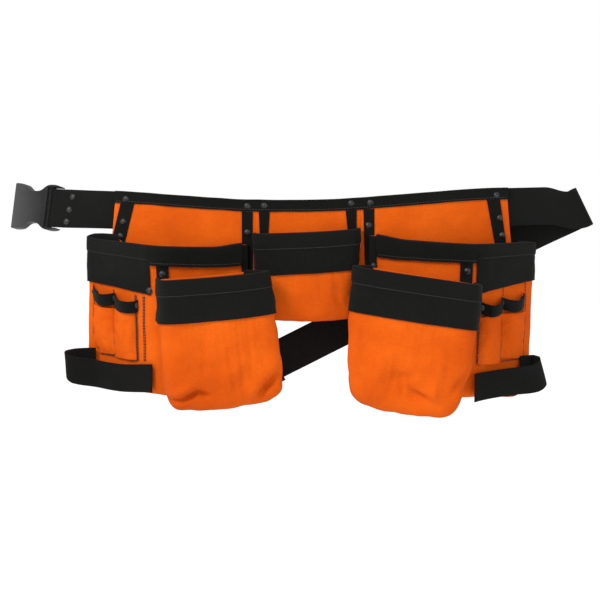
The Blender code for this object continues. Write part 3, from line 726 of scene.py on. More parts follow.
class Surface:
    """The settled outside of a bag, to be asked for points that stand out from it."""

    def __init__(self, bag, rows, levels):
        self.bag = bag
        self.rows = rows
        self.levels = levels
        self.count = len(rows[0])
        ring = rows[0]
        middle = sum(ring, Vector()) / len(ring)
        self.normals = []
        for r in range(len(rows)):
            line = []
            for c in range(self.count):
                a = rows[r][(c + 1) % self.count] - rows[r][c - 1]
                b = rows[min(r + 1, len(rows) - 1)][c] - rows[max(r - 1, 0)][c]
                n = a.cross(b)
                n = n.normalized() if n.length > 1e-12 else Vector((0, -1, 0))
                if n.dot(rows[r][c] - Vector((middle.x, middle.y, rows[r][c].z))) < 0:
                    n = -n
                line.append(n)
            self.normals.append(line)

    def spot(self, grid, c, t):
        r = 0
        while r < len(self.levels) - 2 and self.levels[r + 1] < t:
            r += 1
        v = min(max((t - self.levels[r]) / (self.levels[r + 1] - self.levels[r]), 0.0), 1.0)
        low = math.floor(c)
        u = c - low
        a = low % self.count
        b = (low + 1) % self.count
        return grid[r][a].lerp(grid[r][b], u).lerp(grid[r + 1][a].lerp(grid[r + 1][b], u), v)

    def normal(self, c, t):
        return self.spot(self.normals, c, t).normalized()

    def point(self, c, t, out=0.0):
        p = self.spot(self.rows, c, t)
        return p + self.normal(c, t) * out if out else p

    def wall(self, side, u):
        """The ring position that is u of the way along the wall after a corner."""
        return self.bag.column(side) + u * self.bag.side_steps[side]

    def arc(self, corner, u):
        return self.bag.arc_start(corner) + u * self.bag.arc_steps[corner]

    def deep(self, height):
        """The share of the bag's depth that a height is."""
        return height / (self.bag.mouth - self.bag.floor)


def spread(start, end, steps):
    return [mix(start, end, k / steps) for k in range(steps + 1)]


def signed(plan, sign):
    return [(sign * s, d) for s, d in plan]


def crinkle_cloth(made, surface, amount, seed):
    """Gives a settled bag its unevenness."""
    count = surface.count
    for r, t in enumerate(surface.levels):
        held = smooth((t - 0.03) / 0.12)
        for c in range(count):
            p = surface.rows[r][c]
            out = crumple(p, seed, 0.028, amount) + crumple(p, seed + 2.0, 0.013, amount * 0.35)
            made.data.vertices[r * count + c].co = p + surface.normals[r][c] * (out * held)
    made.data.update()


def press_folds(made, folds):
    """Presses lasting folds into the front of a bag.

    Each fold is (x0, z0, x1, z1, width, depth): a line seen from the front, raised by its depth.
    """
    bake(made)
    finer = made.data
    moves = []
    for vert in finer.vertices:
        facing = smooth((-vert.normal.y - 0.15) / 0.35)
        amount = 0.0
        spot = Vector((vert.co.x, vert.co.z))
        for x0, z0, x1, z1, width, depth in folds if facing else ():
            start = Vector((x0, z0))
            line = Vector((x1, z1)) - start
            u = min(max((spot - start).dot(line) / line.length_squared, 0.0), 1.0)
            far = (spot - start - line * u).length / width
            amount += facing * depth * math.exp(-far * far) * (0.35 + 0.65 * math.sin(math.pi * u))
        moves.append(vert.normal * amount)
    for vert, move in zip(finer.vertices, moves):
        vert.co += move
    finer.update()


def rows_of(made, count, height):
    """The points of a bag's mesh as rows, mouth first."""
    verts = made.data.vertices
    return [[verts[r * count + c].co.copy() for c in range(count)] for r in range(height)]


def bag_shell(name, bag, nodes, settle, crinkle, seed, folds=()):
    """Makes the canvas of a bag, settled as cloth and creased, and gives its surface."""
    levels = bag.levels()
    rows = [bag.row(t) for t in levels]
    ring = rows[0]
    middle = sum(ring, Vector()) / len(ring)
    r = len(rows) // 3
    normal = (rows[r][1] - rows[r][0]).cross(rows[r + 1][0] - rows[r][0])
    flip = normal.dot(rows[r][0] - Vector((middle.x, middle.y, rows[r][0].z))) < 0
    data = grid_data(name, rows, wrap=True, floor=True, flip=flip)
    made = link_object(name, data, ORANGE, "belt", nodes)
    count = len(ring)
    hold, pressure, slack, limit = settle
    weights = [hold(bag, c, t) for t in levels for c in range(count)] + [0.0]
    relax_cloth(made, weights, pressure, slack, limit)
    crinkle_cloth(made, Surface(bag, rows_of(made, count, len(rows)), levels), crinkle, seed)
    moved = rows_of(made, count, len(rows))
    fine = made.modifiers.new("smooth", "SUBSURF")
    fine.levels = 1
    fine.render_levels = 1
    if folds:
        press_folds(made, folds)
    thicken(made, CANVAS, -1.0)
    return Surface(bag, moved, levels)


BAND_ROWS = 20
BAND_LIFT = 0.0003
BAND_THICK = 0.0014


def band_grid(surface, cols, feet, profile):
    """Points up the outside of a bag from a band's foot to its mouth."""
    made = []
    for k in range(BAND_ROWS + 1):
        v = 1.0 - k / BAND_ROWS
        made.append([surface.point(c, mix(feet[0], feet[1], i / (len(cols) - 1)) * v,
                                   BAND_LIFT + profile(v)) for i, c in enumerate(cols)])
    return made


def over_rim(surface, cols, rows, inner):
    """Carries a band's points on over the mouth and down the inside."""
    share = surface.deep(inner)
    rows.append([p + Vector((0, 0, 0.0011)) for p in rows[-1]])
    rows.append([surface.point(c, 0.0, -0.0006) + Vector((0, 0, 0.0016)) for c in cols])
    rows.append([surface.point(c, 0.0, -0.0020) + Vector((0, 0, 0.0005)) for c in cols])
    for k in range(1, 5):
        rows.append([surface.point(c, share * k / 4, -0.0022) for c in cols])
    return rows


def hem_profile(v):
    """A folded hem at the top with a sunken seam under it, then the flat of the webbing."""
    hem = 0.0010 * smooth((0.37 - v) / 0.05)
    seam = -0.0007 * math.exp(-((v - 0.375) / 0.020) ** 2)
    return max(hem + seam + 0.0006 + 0.0002 * smooth((v - 0.90) / 0.05), 0.0001)


def flat_profile(v):
    return 0.0004 + 0.0002 * smooth((v - 0.85) / 0.1)


def mouth_band(name, surface, start, end, feet, profile, nodes, seam, inner=0.016, lift=0.0):
    """A webbing band along a mouth, turned over its rim, with stitches at the seam's share of its height."""
    cols = spread(start, end, max(6, round((end - start) * 2.0)))
    if isinstance(feet, float):
        feet = (feet, feet)
    rows = over_rim(surface, cols, band_grid(surface, cols, feet, lambda v: profile(v) + lift), inner)
    away = surface.normal(cols[len(cols) // 2], feet[0] * 0.5)
    skin(name, rows, BAND_THICK, BLACK, "belt", nodes, away=away)
    points = []
    normals = []
    for i, c in enumerate(cols[1:-1]):
        t = mix(feet[0], feet[1], (i + 1) / (len(cols) - 1)) * seam
        points.append(surface.point(c, t, BAND_LIFT + profile(seam) + lift + BAND_THICK + SEAM_LIFT))
        normals.append(surface.normal(c, t))
    stitches("thread_" + name, [(points, normals)])


def wall_patch(name, surface, ends, levels, stand, thick, look, nodes, steps=16, rows=16, seed=1.0,
               wave=0.0003):
    """A piece sewn on a bag between two ring positions, standing out by stand(u, v).

    levels holds the depths of its top and foot, or of its top at either end and then of its foot.
    """
    paired = len(levels) == 3
    foot = levels[-1]
    grid = []
    for r in range(rows + 1):
        v = r / rows
        row = []
        for c in range(steps + 1):
            u = c / steps
            col = mix(ends[0], ends[1], u)
            t = mix(mix(levels[0], levels[1], u) if paired else levels[0], foot, v)
            p = surface.point(col, t, BAND_GAP + stand(u, v))
            row.append(p + surface.normal(col, t) * abs(crumple(p, seed, 0.015, wave)))
        grid.append(row)
    away = surface.normal((ends[0] + ends[1]) / 2, (levels[0] + levels[1]) / 2)
    skin(name, grid, thick, look, "belt", nodes, away=away)


RUN_POINTS = 60
BELT_POINTS = 260


def surface_run(surface, marks, out):
    """A seam over a bag through (ring position, depth) marks, with the way it faces."""
    points = []
    normals = []
    for (c0, t0), (c1, t1) in zip(marks, marks[1:]):
        for k in range(RUN_POINTS):
            c = mix(c0, c1, k / RUN_POINTS)
            t = mix(t0, t1, k / RUN_POINTS)
            points.append(surface.point(c, t, out))
            normals.append(surface.normal(c, t))
    points.append(surface.point(*marks[-1], out))
    normals.append(surface.normal(*marks[-1]))
    return points, normals


def belt_run(marks, depth):
    """A seam over the belt through (s, z) marks."""
    points = []
    normals = []
    for (s0, z0), (s1, z1) in zip(marks, marks[1:]):
        for k in range(BELT_POINTS):
            s = mix(s0, s1, k / BELT_POINTS)
            z = mix(z0, z1, k / BELT_POINTS)
            points.append(place(s, depth, z))
            normals.append((place(s, depth + 0.01, z) - place(s, depth, z)).normalized())
    points.append(place(marks[-1][0], depth, marks[-1][1]))
    normals.append(normals[-1])
    return points, normals


def bezier(a, b, c, d, steps):
    return [(1 - t)**3 * a + 3 * (1 - t)**2 * t * b + 3 * (1 - t) * t * t * c + t**3 * d
            for t in (k / steps for k in range(steps + 1))]


def ribbon(name, tops, feet, ways, thick, body, nodes=(), across=8, wave=0.0002, seed=1.0, ends=0.0003):
    """Webbing between two edges, centred on them."""
    grid = []
    for a, b, n in zip(tops, feet, ways):
        row = []
        for k in range(across + 1):
            p = a.lerp(b, k / across)
            row.append(p + n * (crumple(p, seed, 0.03, wave) - thick / 2.0))
        grid.append(row)
    middle = len(ways) // 2
    flip = not outward_ok(grid, ways[middle])
    data = grid_data(name, grid, flip=flip)
    made = link_object(name, data, BLACK, body, nodes)
    return thicken(made, thick, 1.0, ends)


# ---------------------------------------------------------------- belt webbing and its fold
axis = (TURN_FOOT - TURN_TOP).normalized()
swing = Vector((-math.cos(TAIL_SWING_IN), -math.sin(TAIL_SWING_IN), 0.0))
tail_way = (swing * math.cos(TAIL_SLOPE) + Vector((0, 0, -math.sin(TAIL_SLOPE)))).normalized()
forward = axis.cross(tail_way).normalized()
if forward.y > 0:
    forward = -forward
bend_out = forward.cross(axis).normalized()
if bend_out.x < 0:
    bend_out = -bend_out

RUN_STEPS = 120


def belt_edges(z):
    points = []
    normals = []
    for k in range(RUN_STEPS + 1):
        s = mix(BELT_LEFT_END + BAR_LEAN * z, BELT_TURN_START, k / RUN_STEPS)
        points.append(place(s, WEB_THICK / 2.0, z))
        normals.append((place(s, WEB_THICK, z) - place(s, 0.0, z)).normalized())
    return points, normals


def turn_edge(start, way, end, last_way, count):
    reach = (end - start).length
    path = []
    for k in range(1, count + 1):
        t = k / count
        path.append((2 * t**3 - 3 * t**2 + 1) * start + (t**3 - 2 * t**2 + t) * reach * way
                    + (-2 * t**3 + 3 * t**2) * end + (t**3 - t**2) * reach * last_way)
    return path


TURN_STEPS = 18
front_offset = forward * (TURN_RADIUS + WEB_THICK / 2.0)
top_points, face_ways = belt_edges(WEB_WIDTH / 2.0)
foot_points, _ = belt_edges(-WEB_WIDTH / 2.0)
start_way = (top_points[-1] - top_points[-2]).normalized()
end_way = bend_out
short = bend_out * 0.0002
top_points += turn_edge(top_points[-1], start_way, TURN_TOP + front_offset - short, end_way, TURN_STEPS)
foot_points += turn_edge(foot_points[-1], start_way, TURN_FOOT + front_offset - short, end_way, TURN_STEPS)
for k in range(1, TURN_STEPS + 1):
    face_ways.append(mix(face_ways[RUN_STEPS], forward, smooth(k / TURN_STEPS)).normalized())
ribbon("belt_web", top_points, foot_points, face_ways, WEB_THICK, "belt", ["belt_webbing"], seed=2.0)

fold_tops = []
fold_feet = []
fold_ways = []
for k in range(25):
    angle = math.pi * k / 24
    way = forward * math.cos(angle) + bend_out * math.sin(angle)
    offset = way * (TURN_RADIUS + WEB_THICK / 2.0)
    fold_tops.append(TURN_TOP + offset)
    fold_feet.append(TURN_FOOT + offset)
    fold_ways.append(way)
fold = ribbon("web_fold", fold_tops, fold_feet, fold_ways, WEB_THICK, None, ["strap_fold"], wave=0.0,
              ends=0.0)
turn_middle = (TURN_TOP + TURN_FOOT) / 2.0

tail_start = turn_middle - forward * (TURN_RADIUS + WEB_THICK / 2.0)
tail_across = (axis - tail_way * axis.dot(tail_way)).normalized()
tail_tops = []
tail_feet = []
TAIL_STEPS = 110
for k in range(TAIL_STEPS + 1):
    t = k / TAIL_STEPS
    gone = mix(0.0002, TAIL_LENGTH, t)
    lead = smooth(t * 6.0)
    edge = mix(axis * (TURN_FOOT - TURN_TOP).length / 2.0, tail_across * WEB_WIDTH / 2.0, lead)
    tail_tops.append(tail_start + tail_way * gone - edge)
    tail_feet.append(tail_start + tail_way * gone + edge)
ribbon("web_tail", tail_tops, tail_feet, [-forward] * (TAIL_STEPS + 1), WEB_THICK, "strap_tail",
       ["strap_tail"], wave=0.0002, seed=4.0)

bar_depth = -(BAR_RADIUS + GAP)
bar_s = BELT_LEFT_END - 0.0004
loop_points = []
for k in range(17):
    angle = math.pi * k / 16
    radius = BAR_RADIUS + GAP
    loop_points.append((bar_s - radius * math.sin(angle), bar_depth + radius * math.cos(angle)))
last = loop_points[-1]
for k in range(1, 17):
    t = k / 16
    loop_points.append((last[0] + LOOP_LENGTH * t, mix(last[1], -GAP, smooth(t * 2.2))))
loop_rows = [[place(s + BAR_LEAN * z, d, z) for z in spread(WEB_WIDTH / 2.0, -WEB_WIDTH / 2.0, 8)]
             for s, d in loop_points]
loop_away = place(bar_s - 0.03, bar_depth, 0.0) - place(bar_s, bar_depth, 0.0)
data = grid_data("web_loop", loop_rows, flip=not outward_ok(loop_rows[:17], loop_away))
thicken(link_object("web_loop", data, BLACK, "belt", ["buckle_loop"]), WEB_THICK, 1.0, 0.0003)

# ---------------------------------------------------------------- apron, its strips and binding
JOIN = 0.0700
LEFT_OUT = 0.2585
RIGHT_OUT = 0.2680
for name, start, end, leans, steps, seed in (("left", -LEFT_OUT, -JOIN, (-LEFT_LEAN, 0.0), 60, 3.0),
                                             ("centre", -JOIN, JOIN, (0.0, 0.0), 48, 5.0),
                                             ("right", JOIN, RIGHT_OUT, (0.0, RIGHT_LEAN), 60, 7.0)):
    belt_patch("canvas_" + name, start, end, PANEL_FOOT, PANEL_TOP, PANEL_D, CANVAS, ORANGE,
               ["panel_" + name], leans, steps, 24, 0.0012, seed)
STRIPS = {
    "left_outer": (-0.2520, 0.0190, (-0.26, -0.26), OUTER_STRIP_FOOT),
    "left_inner": (-0.0880, STRIP_WIDTH, (0.0, 0.0), INNER_STRIP_FOOT),
    "centre_left": (-0.0655, STRIP_WIDTH, (0.04, -0.06), STRIP_FOOT),
    "centre_right": (0.0500, STRIP_WIDTH, (0.10, 0.0), STRIP_FOOT),
    "right_inner": (0.0735, STRIP_WIDTH, (0.03, 0.0), INNER_STRIP_FOOT),
    "right_outer": (0.2400, 0.0185, (OUTER_LEAN, 0.16), OUTER_STRIP_FOOT),
}
STRIP_TOP = PANEL_TOP - BINDING_HEIGHT - GAP
for i, (name, (start, width, leans, foot)) in enumerate(STRIPS.items()):
    belt_patch("edge_" + name, start, start + width, foot, STRIP_TOP, TRIM_D, TRIM, BLACK,
               ["strip_" + name], leans, 10, 20, 0.0005, 10.0 + i)


def fold_over(v):
    """How the binding swells at the edge that it wraps, and dips along its seam."""
    return 0.0005 * smooth((0.25 - v) / 0.2) - 0.0004 * math.exp(-((v - 0.84) / 0.05) ** 2) + 0.0004


belt_patch("apron_binding", -LEFT_OUT - 0.0010, RIGHT_OUT + 0.0010, PANEL_TOP - BINDING_HEIGHT,
           PANEL_TOP + 0.0010, TRIM_D, TRIM, BLACK, ["top_binding"], (-LEFT_LEAN, RIGHT_LEAN), 180, 14,
           0.0005, 21.0, fold_over)
z = PANEL_TOP - BINDING_HEIGHT + 0.0026
stitches("thread_top", [belt_run([(-LEFT_OUT, z), (RIGHT_OUT, z)], TRIM_D + TRIM + 0.0002)])

# ---------------------------------------------------------------- pockets
def pocket_hold(bag, c, t):
    """How firmly a big pocket's cloth is kept in place: hard at its back and mouth."""
    back = bag.arc_start(3) <= c or c <= bag.arc_steps[0]
    if back or t < 0.02:
        return 1.0
    side = bag.column(1) <= c <= bag.arc_start(2)
    return 0.75 if side else 0.45


def pouch_hold(bag, c, t):
    """How firmly a pouch's cloth is kept in place: less and less below its band."""
    back = bag.arc_start(3) + 1 <= c or c <= bag.arc_steps[0] // 2
    if back or t < 0.02:
        return 1.0
    return 0.10 + 0.5 * smooth((0.40 - t) / 0.2)


def channel(height, taper):
    """How far a tool channel stands out: round across, and flatter towards its foot."""
    def stand_out(u, v):
        return height * max(math.sin(math.pi * u), 0.0) ** 0.8 * (1.0 - taper * v * v)
    return stand_out


LOOP_STEPS = (36, 28)
LOOP_TIP = 38
LOOP_TIP_SPAN = 8.0
LOOP_TIP_NARROW = 0.26
LOOP_LIFT = 0.0056


def hammer_loop(name, bag, spec, level, tilt, nodes):
    """Webbing sewn to the side at both ends, hanging out past the corner in a soft round loop.

    spec holds the loop's start and end as shares of the side, its reach past the corner and its bow.
    """
    start, end, reach, bow = spec
    plan = bag.corners(0.85, bag.swell(0.85))
    along = (plan[2] - plan[1]).normalized()
    length = (plan[2] - plan[1]).length
    out = Vector((along.y, -along.x))
    if out.y < 0:
        out = -out
    first = Vector((start * length, LOOP_LIFT))
    far = Vector((length + reach, bow * 0.60))
    last = Vector((end * length, LOOP_LIFT))
    path = bezier(first, first + Vector((0.45 * length, 0.001)), far + Vector((0, bow * 0.75)), far,
                  LOOP_STEPS[0])
    path += bezier(far, far - Vector((0, bow * 0.62)), last + Vector((0.030, 0.0015)), last,
                   LOOP_STEPS[1])[1:]
    middle = [plan[1] + along * p.x + out * p.y for p in path]
    count = len(path) - 1
    heights = [curve_through(level, k / count) for k in range(count + 1)]
    tops = []
    feet = []
    ways = []
    for k, p in enumerate(middle):
        before = middle[max(k - 1, 0)]
        after = middle[min(k + 1, count)]
        run = (after - before).normalized()
        normal = Vector((run.y, -run.x))
        here = place(p.x, p.y, heights[k])
        ahead = place(p.x + normal.x * 0.01, p.y + normal.y * 0.01, heights[k])
        way = (ahead - here).normalized()
        turn = math.sin(math.pi * smooth((k / count - 0.18) / 0.62))
        up = (Vector((0, 0, 1)) + way * (tilt * turn)).normalized()
        narrow = 1.0 - LOOP_TIP_NARROW * math.exp(-((k - LOOP_TIP) / LOOP_TIP_SPAN) ** 2)
        ways.append((way - Vector((0, 0, 1)) * (tilt * turn)).normalized())
        rise = Vector((0, 0, 0.0022 * math.sin(7.0 * k / count)))
        tops.append(here + rise * 0.5 + up * (LOOP_WIDTH / 2.0 * mix(narrow, 1.0, 0.6)))
        feet.append(here + rise - up * (LOOP_WIDTH / 2.0 * narrow))
    return ribbon(name, tops, feet, ways, WEB_THICK, "belt", nodes, wave=0.0010, seed=6.0)


def side_profile(v):
    """A narrow hem along the top with a seam under it."""
    hem = 0.0008 * smooth((0.28 - v) / 0.04)
    return hem - 0.0005 * math.exp(-((v - 0.29) / 0.02) ** 2) + 0.0008


TOOL_LOOP_WIDTH = 0.0160
TOOL_LOOP_REACH = 0.0125


def serpentine(name, at, ends, levels, nodes):
    """A narrow webbing sewn down at its ends and middle, standing out in two loops for tools."""
    def stand_out(u):
        return TOOL_LOOP_REACH * abs(math.sin(2.0 * math.pi * u)) ** 0.75

    tops = []
    feet = []
    ways = []
    for k in range(73):
        u = k / 72
        col = mix(ends[0], ends[1], u)
        out = stand_out(u)
        dip = 0.0045 * (out / TOOL_LOOP_REACH) - 0.0015
        level = mix(levels[0], levels[1], u)
        middle = at.point(col, level, 0.0015 + out) - Vector((0, 0, dip))
        tilt = at.normal(col, level) * (0.16 * out / TOOL_LOOP_REACH)
        up = (Vector((0, 0, 1)) + tilt).normalized()
        tops.append(middle + up * (TOOL_LOOP_WIDTH / 2.0))
        feet.append(middle - up * (TOOL_LOOP_WIDTH / 2.0))
        before = at.point(col - 0.2, level, 0.0015 + stand_out(u - 0.01))
        after = at.point(col + 0.2, level, 0.0015 + stand_out(u + 0.01))
        way = (after - before).cross(up)
        if way.dot(at.normal(col, level)) < 0 and out < TOOL_LOOP_REACH * 0.5:
            way = -way
        elif ways and way.dot(ways[-1]) < 0:
            way = -way
        ways.append(way.normalized())
    return ribbon(name, tops, feet, ways, 0.0014, "belt", nodes, across=6, wave=0.0003, seed=3.0)


def bag_rivet(name, at, col, t, out):
    """A rivet on a bag, out from its cloth."""
    normal = at.normal(col, t)
    rivet(name, at.point(col, t, out), normal)


def side_spot(at, u):
    """The ring position at a share of the side wall, or before it on the corner where u is negative."""
    return at.wall(1, u) if u >= 0 else at.arc(1, 1.0 + u * 1.6)


for side, spec in SIDES.items():
    sign = spec["sign"]
    pocket = Bag(signed(spec["top"], sign), signed(spec["foot"], sign), (0.003, 0.045, 0.005, 0.004),
                 spec["mouth"], spec["floor"], spec["droop"], 0.080, 0.016, 0.0)
    pocket.lip = spec["lip"]
    pocket.ramp_up = spec["ramp_up"]
    pocket.back = 0.0090
    pocket.back_end = spec["back_end"]
    at = bag_shell("bag_" + side, pocket, ["pocket_" + side], (pocket_hold, 2.0, 0.015, 0.004), 0.0016,
                   31.0 + sign)
    edge = at.deep(0.0240)
    pick = spec["seams"]
    mouth_band("side_rim_" + side, at, at.arc(1, pick["band"]), at.wall(3, 0.12), pick["feet"], side_profile,
               ["side_band_" + side], seam=0.27)
    mouth_band("rim_" + side, at, at.arc(0, 1.0) + 0.08, at.arc(1, pick["band"]) - 0.15, edge, flat_profile,
               ["pocket_binding_" + side], lift=0.0021, seam=0.86)
    for part, ends, levels in (("inner", (at.arc(0, 0.25), at.arc(0, 0.99)), (0.0, 0.23)),
                               ("outer", [at.arc(1, u) for u in pick["strip"]], (edge - 0.01, 0.28))):
        wall_patch("pouch_edge_%s_%s" % (part, side), at, ends, levels, lambda u, v: 0.0002, BAND, BLACK,
                   ["pouch_strip_%s_%s" % (part, side)], steps=8, rows=10)
    cuts = [side_spot(at, u) for u in spec["tools"]]
    ends = spec["channel_ends"]
    middle = mix(ends[0], ends[1], 0.5)
    low = mix(ends[2], ends[3], 0.5)
    for part, cols, tops in (("front", (cuts[0], cuts[1] - 0.06), (ends[0], middle, ends[2])),
                             ("rear", (cuts[1] + 0.06, cuts[2]), (middle, ends[1], ends[3]))):
        wall_patch("channel_%s_%s" % (part, side), at, cols, tops, channel(0.0085, 0.75), CANVAS, ORANGE,
                   ["tool_channel_%s_%s" % (part, side)], steps=24, rows=30, seed=8.0 + sign, wave=0.0022)
    top = (pick["feet"][0] + 0.02, pick["feet"][1] + 0.03)
    runs = [surface_run(at, [(c, t0), (c, t1)], 0.0019)
            for c, t0, t1 in ((cuts[0] - 0.22, mix(*top, 0.2), ends[2]), (cuts[1], mix(*top, 0.5), low),
                              (cuts[2] + 0.22, mix(*top, 0.9), ends[3]),
                              (cuts[0] - 0.62, mix(*top, 0.2), ends[2]))]
    runs.append(surface_run(at, [(cuts[0], ends[2] + 0.004), (cuts[2], ends[3] + 0.004)], 0.0016))
    for shift in pick["doubles"]:
        runs.append(surface_run(at, [(cuts[0] + shift, pick["feet"][0] + 0.012),
                                     (cuts[0] + shift + 0.3, ends[2])], 0.0006))
    stitches("thread_tools_" + side, runs, pitch=0.0040, length=0.0037, radius=0.00068)
    loop_ends = [side_spot(at, u) for u in spec["tool_loops"]]
    serpentine("loops_" + side, at, loop_ends, spec["loop_level"], ["tool_loops_" + side])
    for k, share in enumerate((0.03, 0.5, 0.97)):
        level = mix(spec["loop_level"][0], spec["loop_level"][1], share) - 0.008
        bag_rivet("stud_loops_%d_%s" % (k, side), at, mix(loop_ends[0], loop_ends[1], share), level,
                  0.0026)
    bag_rivet("stud_band_" + side, at, at.arc(1, pick["band"]) + 0.75, pick["feet"][0] - 0.030, 0.0022)
    bag_rivet("stud_pouch_" + side, at, at.arc(1, sum(pick["strip"]) / 2), edge + 0.055, 0.0024)
    bag_rivet("stud_inner_" + side, at, at.arc(0, 0.80), edge + 0.055, 0.0024)
    hammer_loop("hammer_web_" + side, pocket, spec["loop"], spec["loop_heights"], spec["loop_tilt"],
                ["hammer_loop_" + side])

    pouch = Bag(signed(spec["pouch_top"], sign), signed(spec["pouch_foot"], sign),
                (0.006, 0.018, 0.016, 0.008), spec["pouch_mouth"], spec["pouch_floor"],
                spec["pouch_droop"], 0.043, 0.018, 0.0035)
    pouch.cut_start = spec["cut_start"]
    at = bag_shell("pouch_bag_" + side, pouch, ["pouch_" + side], (pouch_hold, 3.0, 0.020, 0.007), 0.0030,
                   41.0 + sign, spec["folds"])
    mouth_band("pouch_rim_" + side, at, at.arc(0, 0.75), at.arc(3, 0.25), 0.32, hem_profile,
               ["pouch_band_" + side], seam=0.345)

centre = Bag(((-0.0720, 0.0062), (-0.0690, 0.0240), (0.0640, 0.0240), (0.0680, 0.0062)),
             ((-0.0620, 0.0062), (-0.0590, 0.0200), (0.0560, 0.0200), (0.0600, 0.0062)),
             (0.004, 0.010, 0.010, 0.004), -0.0180, -0.1330, 0.0, 0.0, 0.010, 0.0015)
centre.tilt = 0.030
at = bag_shell("centre_bag", centre, ["centre_pocket"], (pouch_hold, 2.0, 0.020, 0.004), 0.0016, 51.0)
mouth_band("centre_rim", at, at.arc(0, 0.75), at.arc(3, 0.25), (0.47, 0.43), hem_profile,
           ["centre_band"], inner=0.010, seam=0.345)

# ---------------------------------------------------------------- rivets on the belt
RIVET_D = TRIM_D + TRIM
BELT_RIVETS = (
    ("rivet_loop_top", -0.3247, 0.0160, WEB_THICK),
    ("rivet_loop_middle", -0.3283, -0.0010, WEB_THICK),
    ("rivet_loop_bottom", -0.3308, -0.0170, WEB_THICK),
    ("rivet_left_top", -0.2445, 0.0160, RIVET_D),
    ("rivet_left_middle", -0.2487, -0.0150, RIVET_D),
    ("rivet_left_bottom", -0.2527, -0.0345, RIVET_D),
    ("rivet_left_join_top", -0.0805, 0.0170, RIVET_D),
    ("rivet_left_join_bottom", -0.0807, -0.0180, RIVET_D),
    ("rivet_centre_left", -0.0583, 0.0180, RIVET_D),
    ("rivet_centre_right", 0.0573, 0.0190, RIVET_D),
    ("rivet_right_join_top", 0.0827, 0.0180, RIVET_D),
    ("rivet_right_join_bottom", 0.0805, -0.0120, RIVET_D),
    ("rivet_right_top", 0.2533, 0.0165, RIVET_D),
    ("rivet_right_middle", 0.2582, -0.0145, RIVET_D),
)
for name, s, z, depth in BELT_RIVETS + (("rivet_right_bottom", 0.2621, -0.0378, RIVET_D),):
    along = place(s + 0.002, depth, z) - place(s - 0.002, depth, z)
    out = along.cross(place(s, depth, z + 0.002) - place(s, depth, z - 0.002)).normalized()
    rivet(name.replace("rivet", "stud"), place(s, depth + 0.0003, z), out,
          [] if name == "rivet_right_bottom" else [name])

# ---------------------------------------------------------------- buckle
half = WEB_WIDTH / 2.0
bar_top = place(bar_s + BAR_LEAN * half, bar_depth, half)
bar_foot = place(bar_s - BAR_LEAN * half, bar_depth, -half)
bar_middle = (bar_top + bar_foot) / 2.0
up = (bar_top - bar_foot).normalized()
away = (place(bar_s - 0.02, bar_depth, 0.0) - place(bar_s + 0.002, bar_depth, 0.0)).normalized()
away = (away - up * away.dot(up)).normalized()
SOCKET_FRAME = Matrix.Translation(bar_middle) @ Matrix((away, up, away.cross(up))).transposed().to_4x4()


def socket_outline(steps):
    """Half of the socket's outline above its middle line, from the lug by the bar to the mouth."""
    points = [(SOCKET_KNOTS[0][0], SOCKET_INNER), SOCKET_KNOTS[0]]
    for (u0, _), (u1, _) in zip(SOCKET_KNOTS[1:-2], SOCKET_KNOTS[2:-1]):
        for u in (mix(u0, u1, j / steps) for j in range(steps)):
            points.append((u, curve_through(SOCKET_KNOTS, u)))
    return points + list(SOCKET_KNOTS[-2:])


def helper(mesh):
    """An object for a mesh that is still to be cut or joined."""
    data = bpy.data.meshes.new("helper")
    bmesh.ops.recalc_face_normals(mesh, faces=mesh.faces[:])
    mesh.to_mesh(data)
    mesh.free()
    made = bpy.data.objects.new("helper", data)
    SCENE.collection.objects.link(made)
    return made


def combine(target, tool, operation):
    step = target.modifiers.new(operation.lower(), "BOOLEAN")
    step.operation = operation
    step.solver = "EXACT"
    step.object = tool
    bake(target)
    bpy.data.objects.remove(tool, do_unlink=True)


def box_mesh(low, high):
    mesh = bmesh.new()
    bmesh.ops.create_cube(mesh, size=1.0)
    for v in mesh.verts:
        v.co = Vector([mix(low[i], high[i], v.co[i] + 0.5) for i in range(3)])
    return mesh


def rounded(target, width, segments):
    step = target.modifiers.new("edges", "BEVEL")
    step.width = width
    step.segments = segments
    step.limit_method = "ANGLE"
    step.angle_limit = math.radians(40.0)
    bake(target)


upper = [(NOTCH_END, SOCKET_INNER)] + socket_outline(5)
outline = upper + [(u, -v) for u, v in reversed(upper)]
mesh = bmesh.new()
base = mesh.faces.new([mesh.verts.new((x, y, -BUCKLE_THICK / 2.0)) for x, y in outline])
moved = bmesh.ops.extrude_face_region(mesh, geom=[base])["geom"]
bmesh.ops.translate(mesh, vec=(0.0, 0.0, BUCKLE_THICK),
                    verts=[v for v in moved if isinstance(v, bmesh.types.BMVert)])
socket = helper(mesh)
rounded(socket, 0.0021, 5)
for low, high in (WELL, WINDOW):
    combine(socket, helper(box_mesh(low, high)), "DIFFERENCE")
rod = bmesh.new()
bmesh.ops.create_cone(rod, cap_ends=True, segments=32, radius1=BAR_RADIUS, radius2=BAR_RADIUS,
                      depth=2.0 * (SOCKET_INNER + 0.0012))
rod.transform(Matrix.Rotation(math.pi / 2.0, 4, "X"))
combine(socket, helper(rod), "UNION")
socket.data.transform(SOCKET_FRAME)
socket_data = socket.data
bpy.data.objects.remove(socket, do_unlink=True)
socket = link_object("socket", socket_data, PLASTIC, "receptacle", ["receptacle"], 60.0)
even = socket.modifiers.new("even", "WEIGHTED_NORMAL")
even.keep_sharp = True

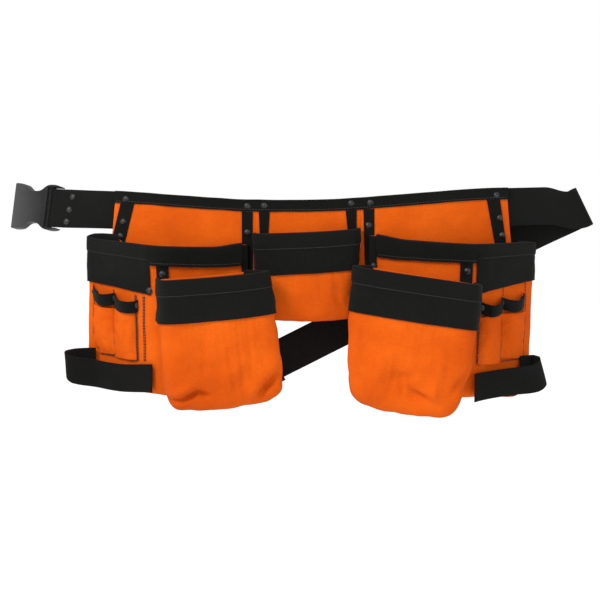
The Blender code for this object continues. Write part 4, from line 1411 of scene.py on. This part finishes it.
for name in ("plug_body", "plug_prong_upper", "plug_prong_lower"):
    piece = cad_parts[name]
    piece.data.materials.clear()
    piece.data.materials.append(PLASTIC)
    soft = piece.modifiers.new("edges", "BEVEL")
    soft.width = 0.0004
    soft.segments = 2
    soft.limit_method = "ANGLE"

# The fold bends between the belt and the strap's tail.
bake(fold)
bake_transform(fold)

# ---------------------------------------------------------------- floor, light and camera
bpy.ops.mesh.primitive_plane_add(size=12.0, location=(0.0, 0.0, -0.9))
floor = bpy.context.object
floor.name = "floor"
pale, _, pale_shader = new_material("pale_floor")
pale_shader.inputs["Base Color"].default_value = (0.90, 0.90, 0.90, 1.0)
pale_shader.inputs["Roughness"].default_value = 0.9
pale_shader.inputs["Emission Color"].default_value = (1.0, 1.0, 1.0, 1.0)
pale_shader.inputs["Emission Strength"].default_value = 0.16
floor.data.materials.append(pale)
floor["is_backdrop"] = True

world = bpy.data.worlds.new("studio")
world.use_nodes = True
world.node_tree.nodes["Background"].inputs["Color"].default_value = (1.0, 1.0, 1.0, 1.0)
world.node_tree.nodes["Background"].inputs["Strength"].default_value = 1.0
SCENE.world = world


def soft_light(name, place_at, look_at, size, power):
    lamp = bpy.data.lights.new(name, "AREA")
    lamp.size = size
    lamp.energy = power
    made = bpy.data.objects.new(name, lamp)
    made.location = place_at
    made.rotation_euler = (Vector(look_at) - Vector(place_at)).to_track_quat("-Z", "Y").to_euler()
    SCENE.collection.objects.link(made)
    return made


soft_light("key", (-1.2, -1.5, 1.4), (0.0, 0.0, -0.1), 0.8, 51.0)
soft_light("fill", (1.5, -1.6, 0.3), (0.0, 0.0, -0.1), 1.2, 9.0)

AIM = Vector((-0.0107, 0.0, -0.1085))
DISTANCE = 2.4
ELEVATION = math.radians(7.3)
camera = bpy.data.cameras.new("camera")
camera.sensor_width = 36.0
camera.lens = 107.5
eye = bpy.data.objects.new("camera", camera)
eye.location = AIM + Vector((0.0, -math.cos(ELEVATION), math.sin(ELEVATION))) * DISTANCE
eye.rotation_euler = (AIM - eye.location).to_track_quat("-Z", "Y").to_euler()
SCENE.collection.objects.link(eye)
SCENE.camera = eye
SCENE.view_settings.view_transform = "Standard"

low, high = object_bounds()
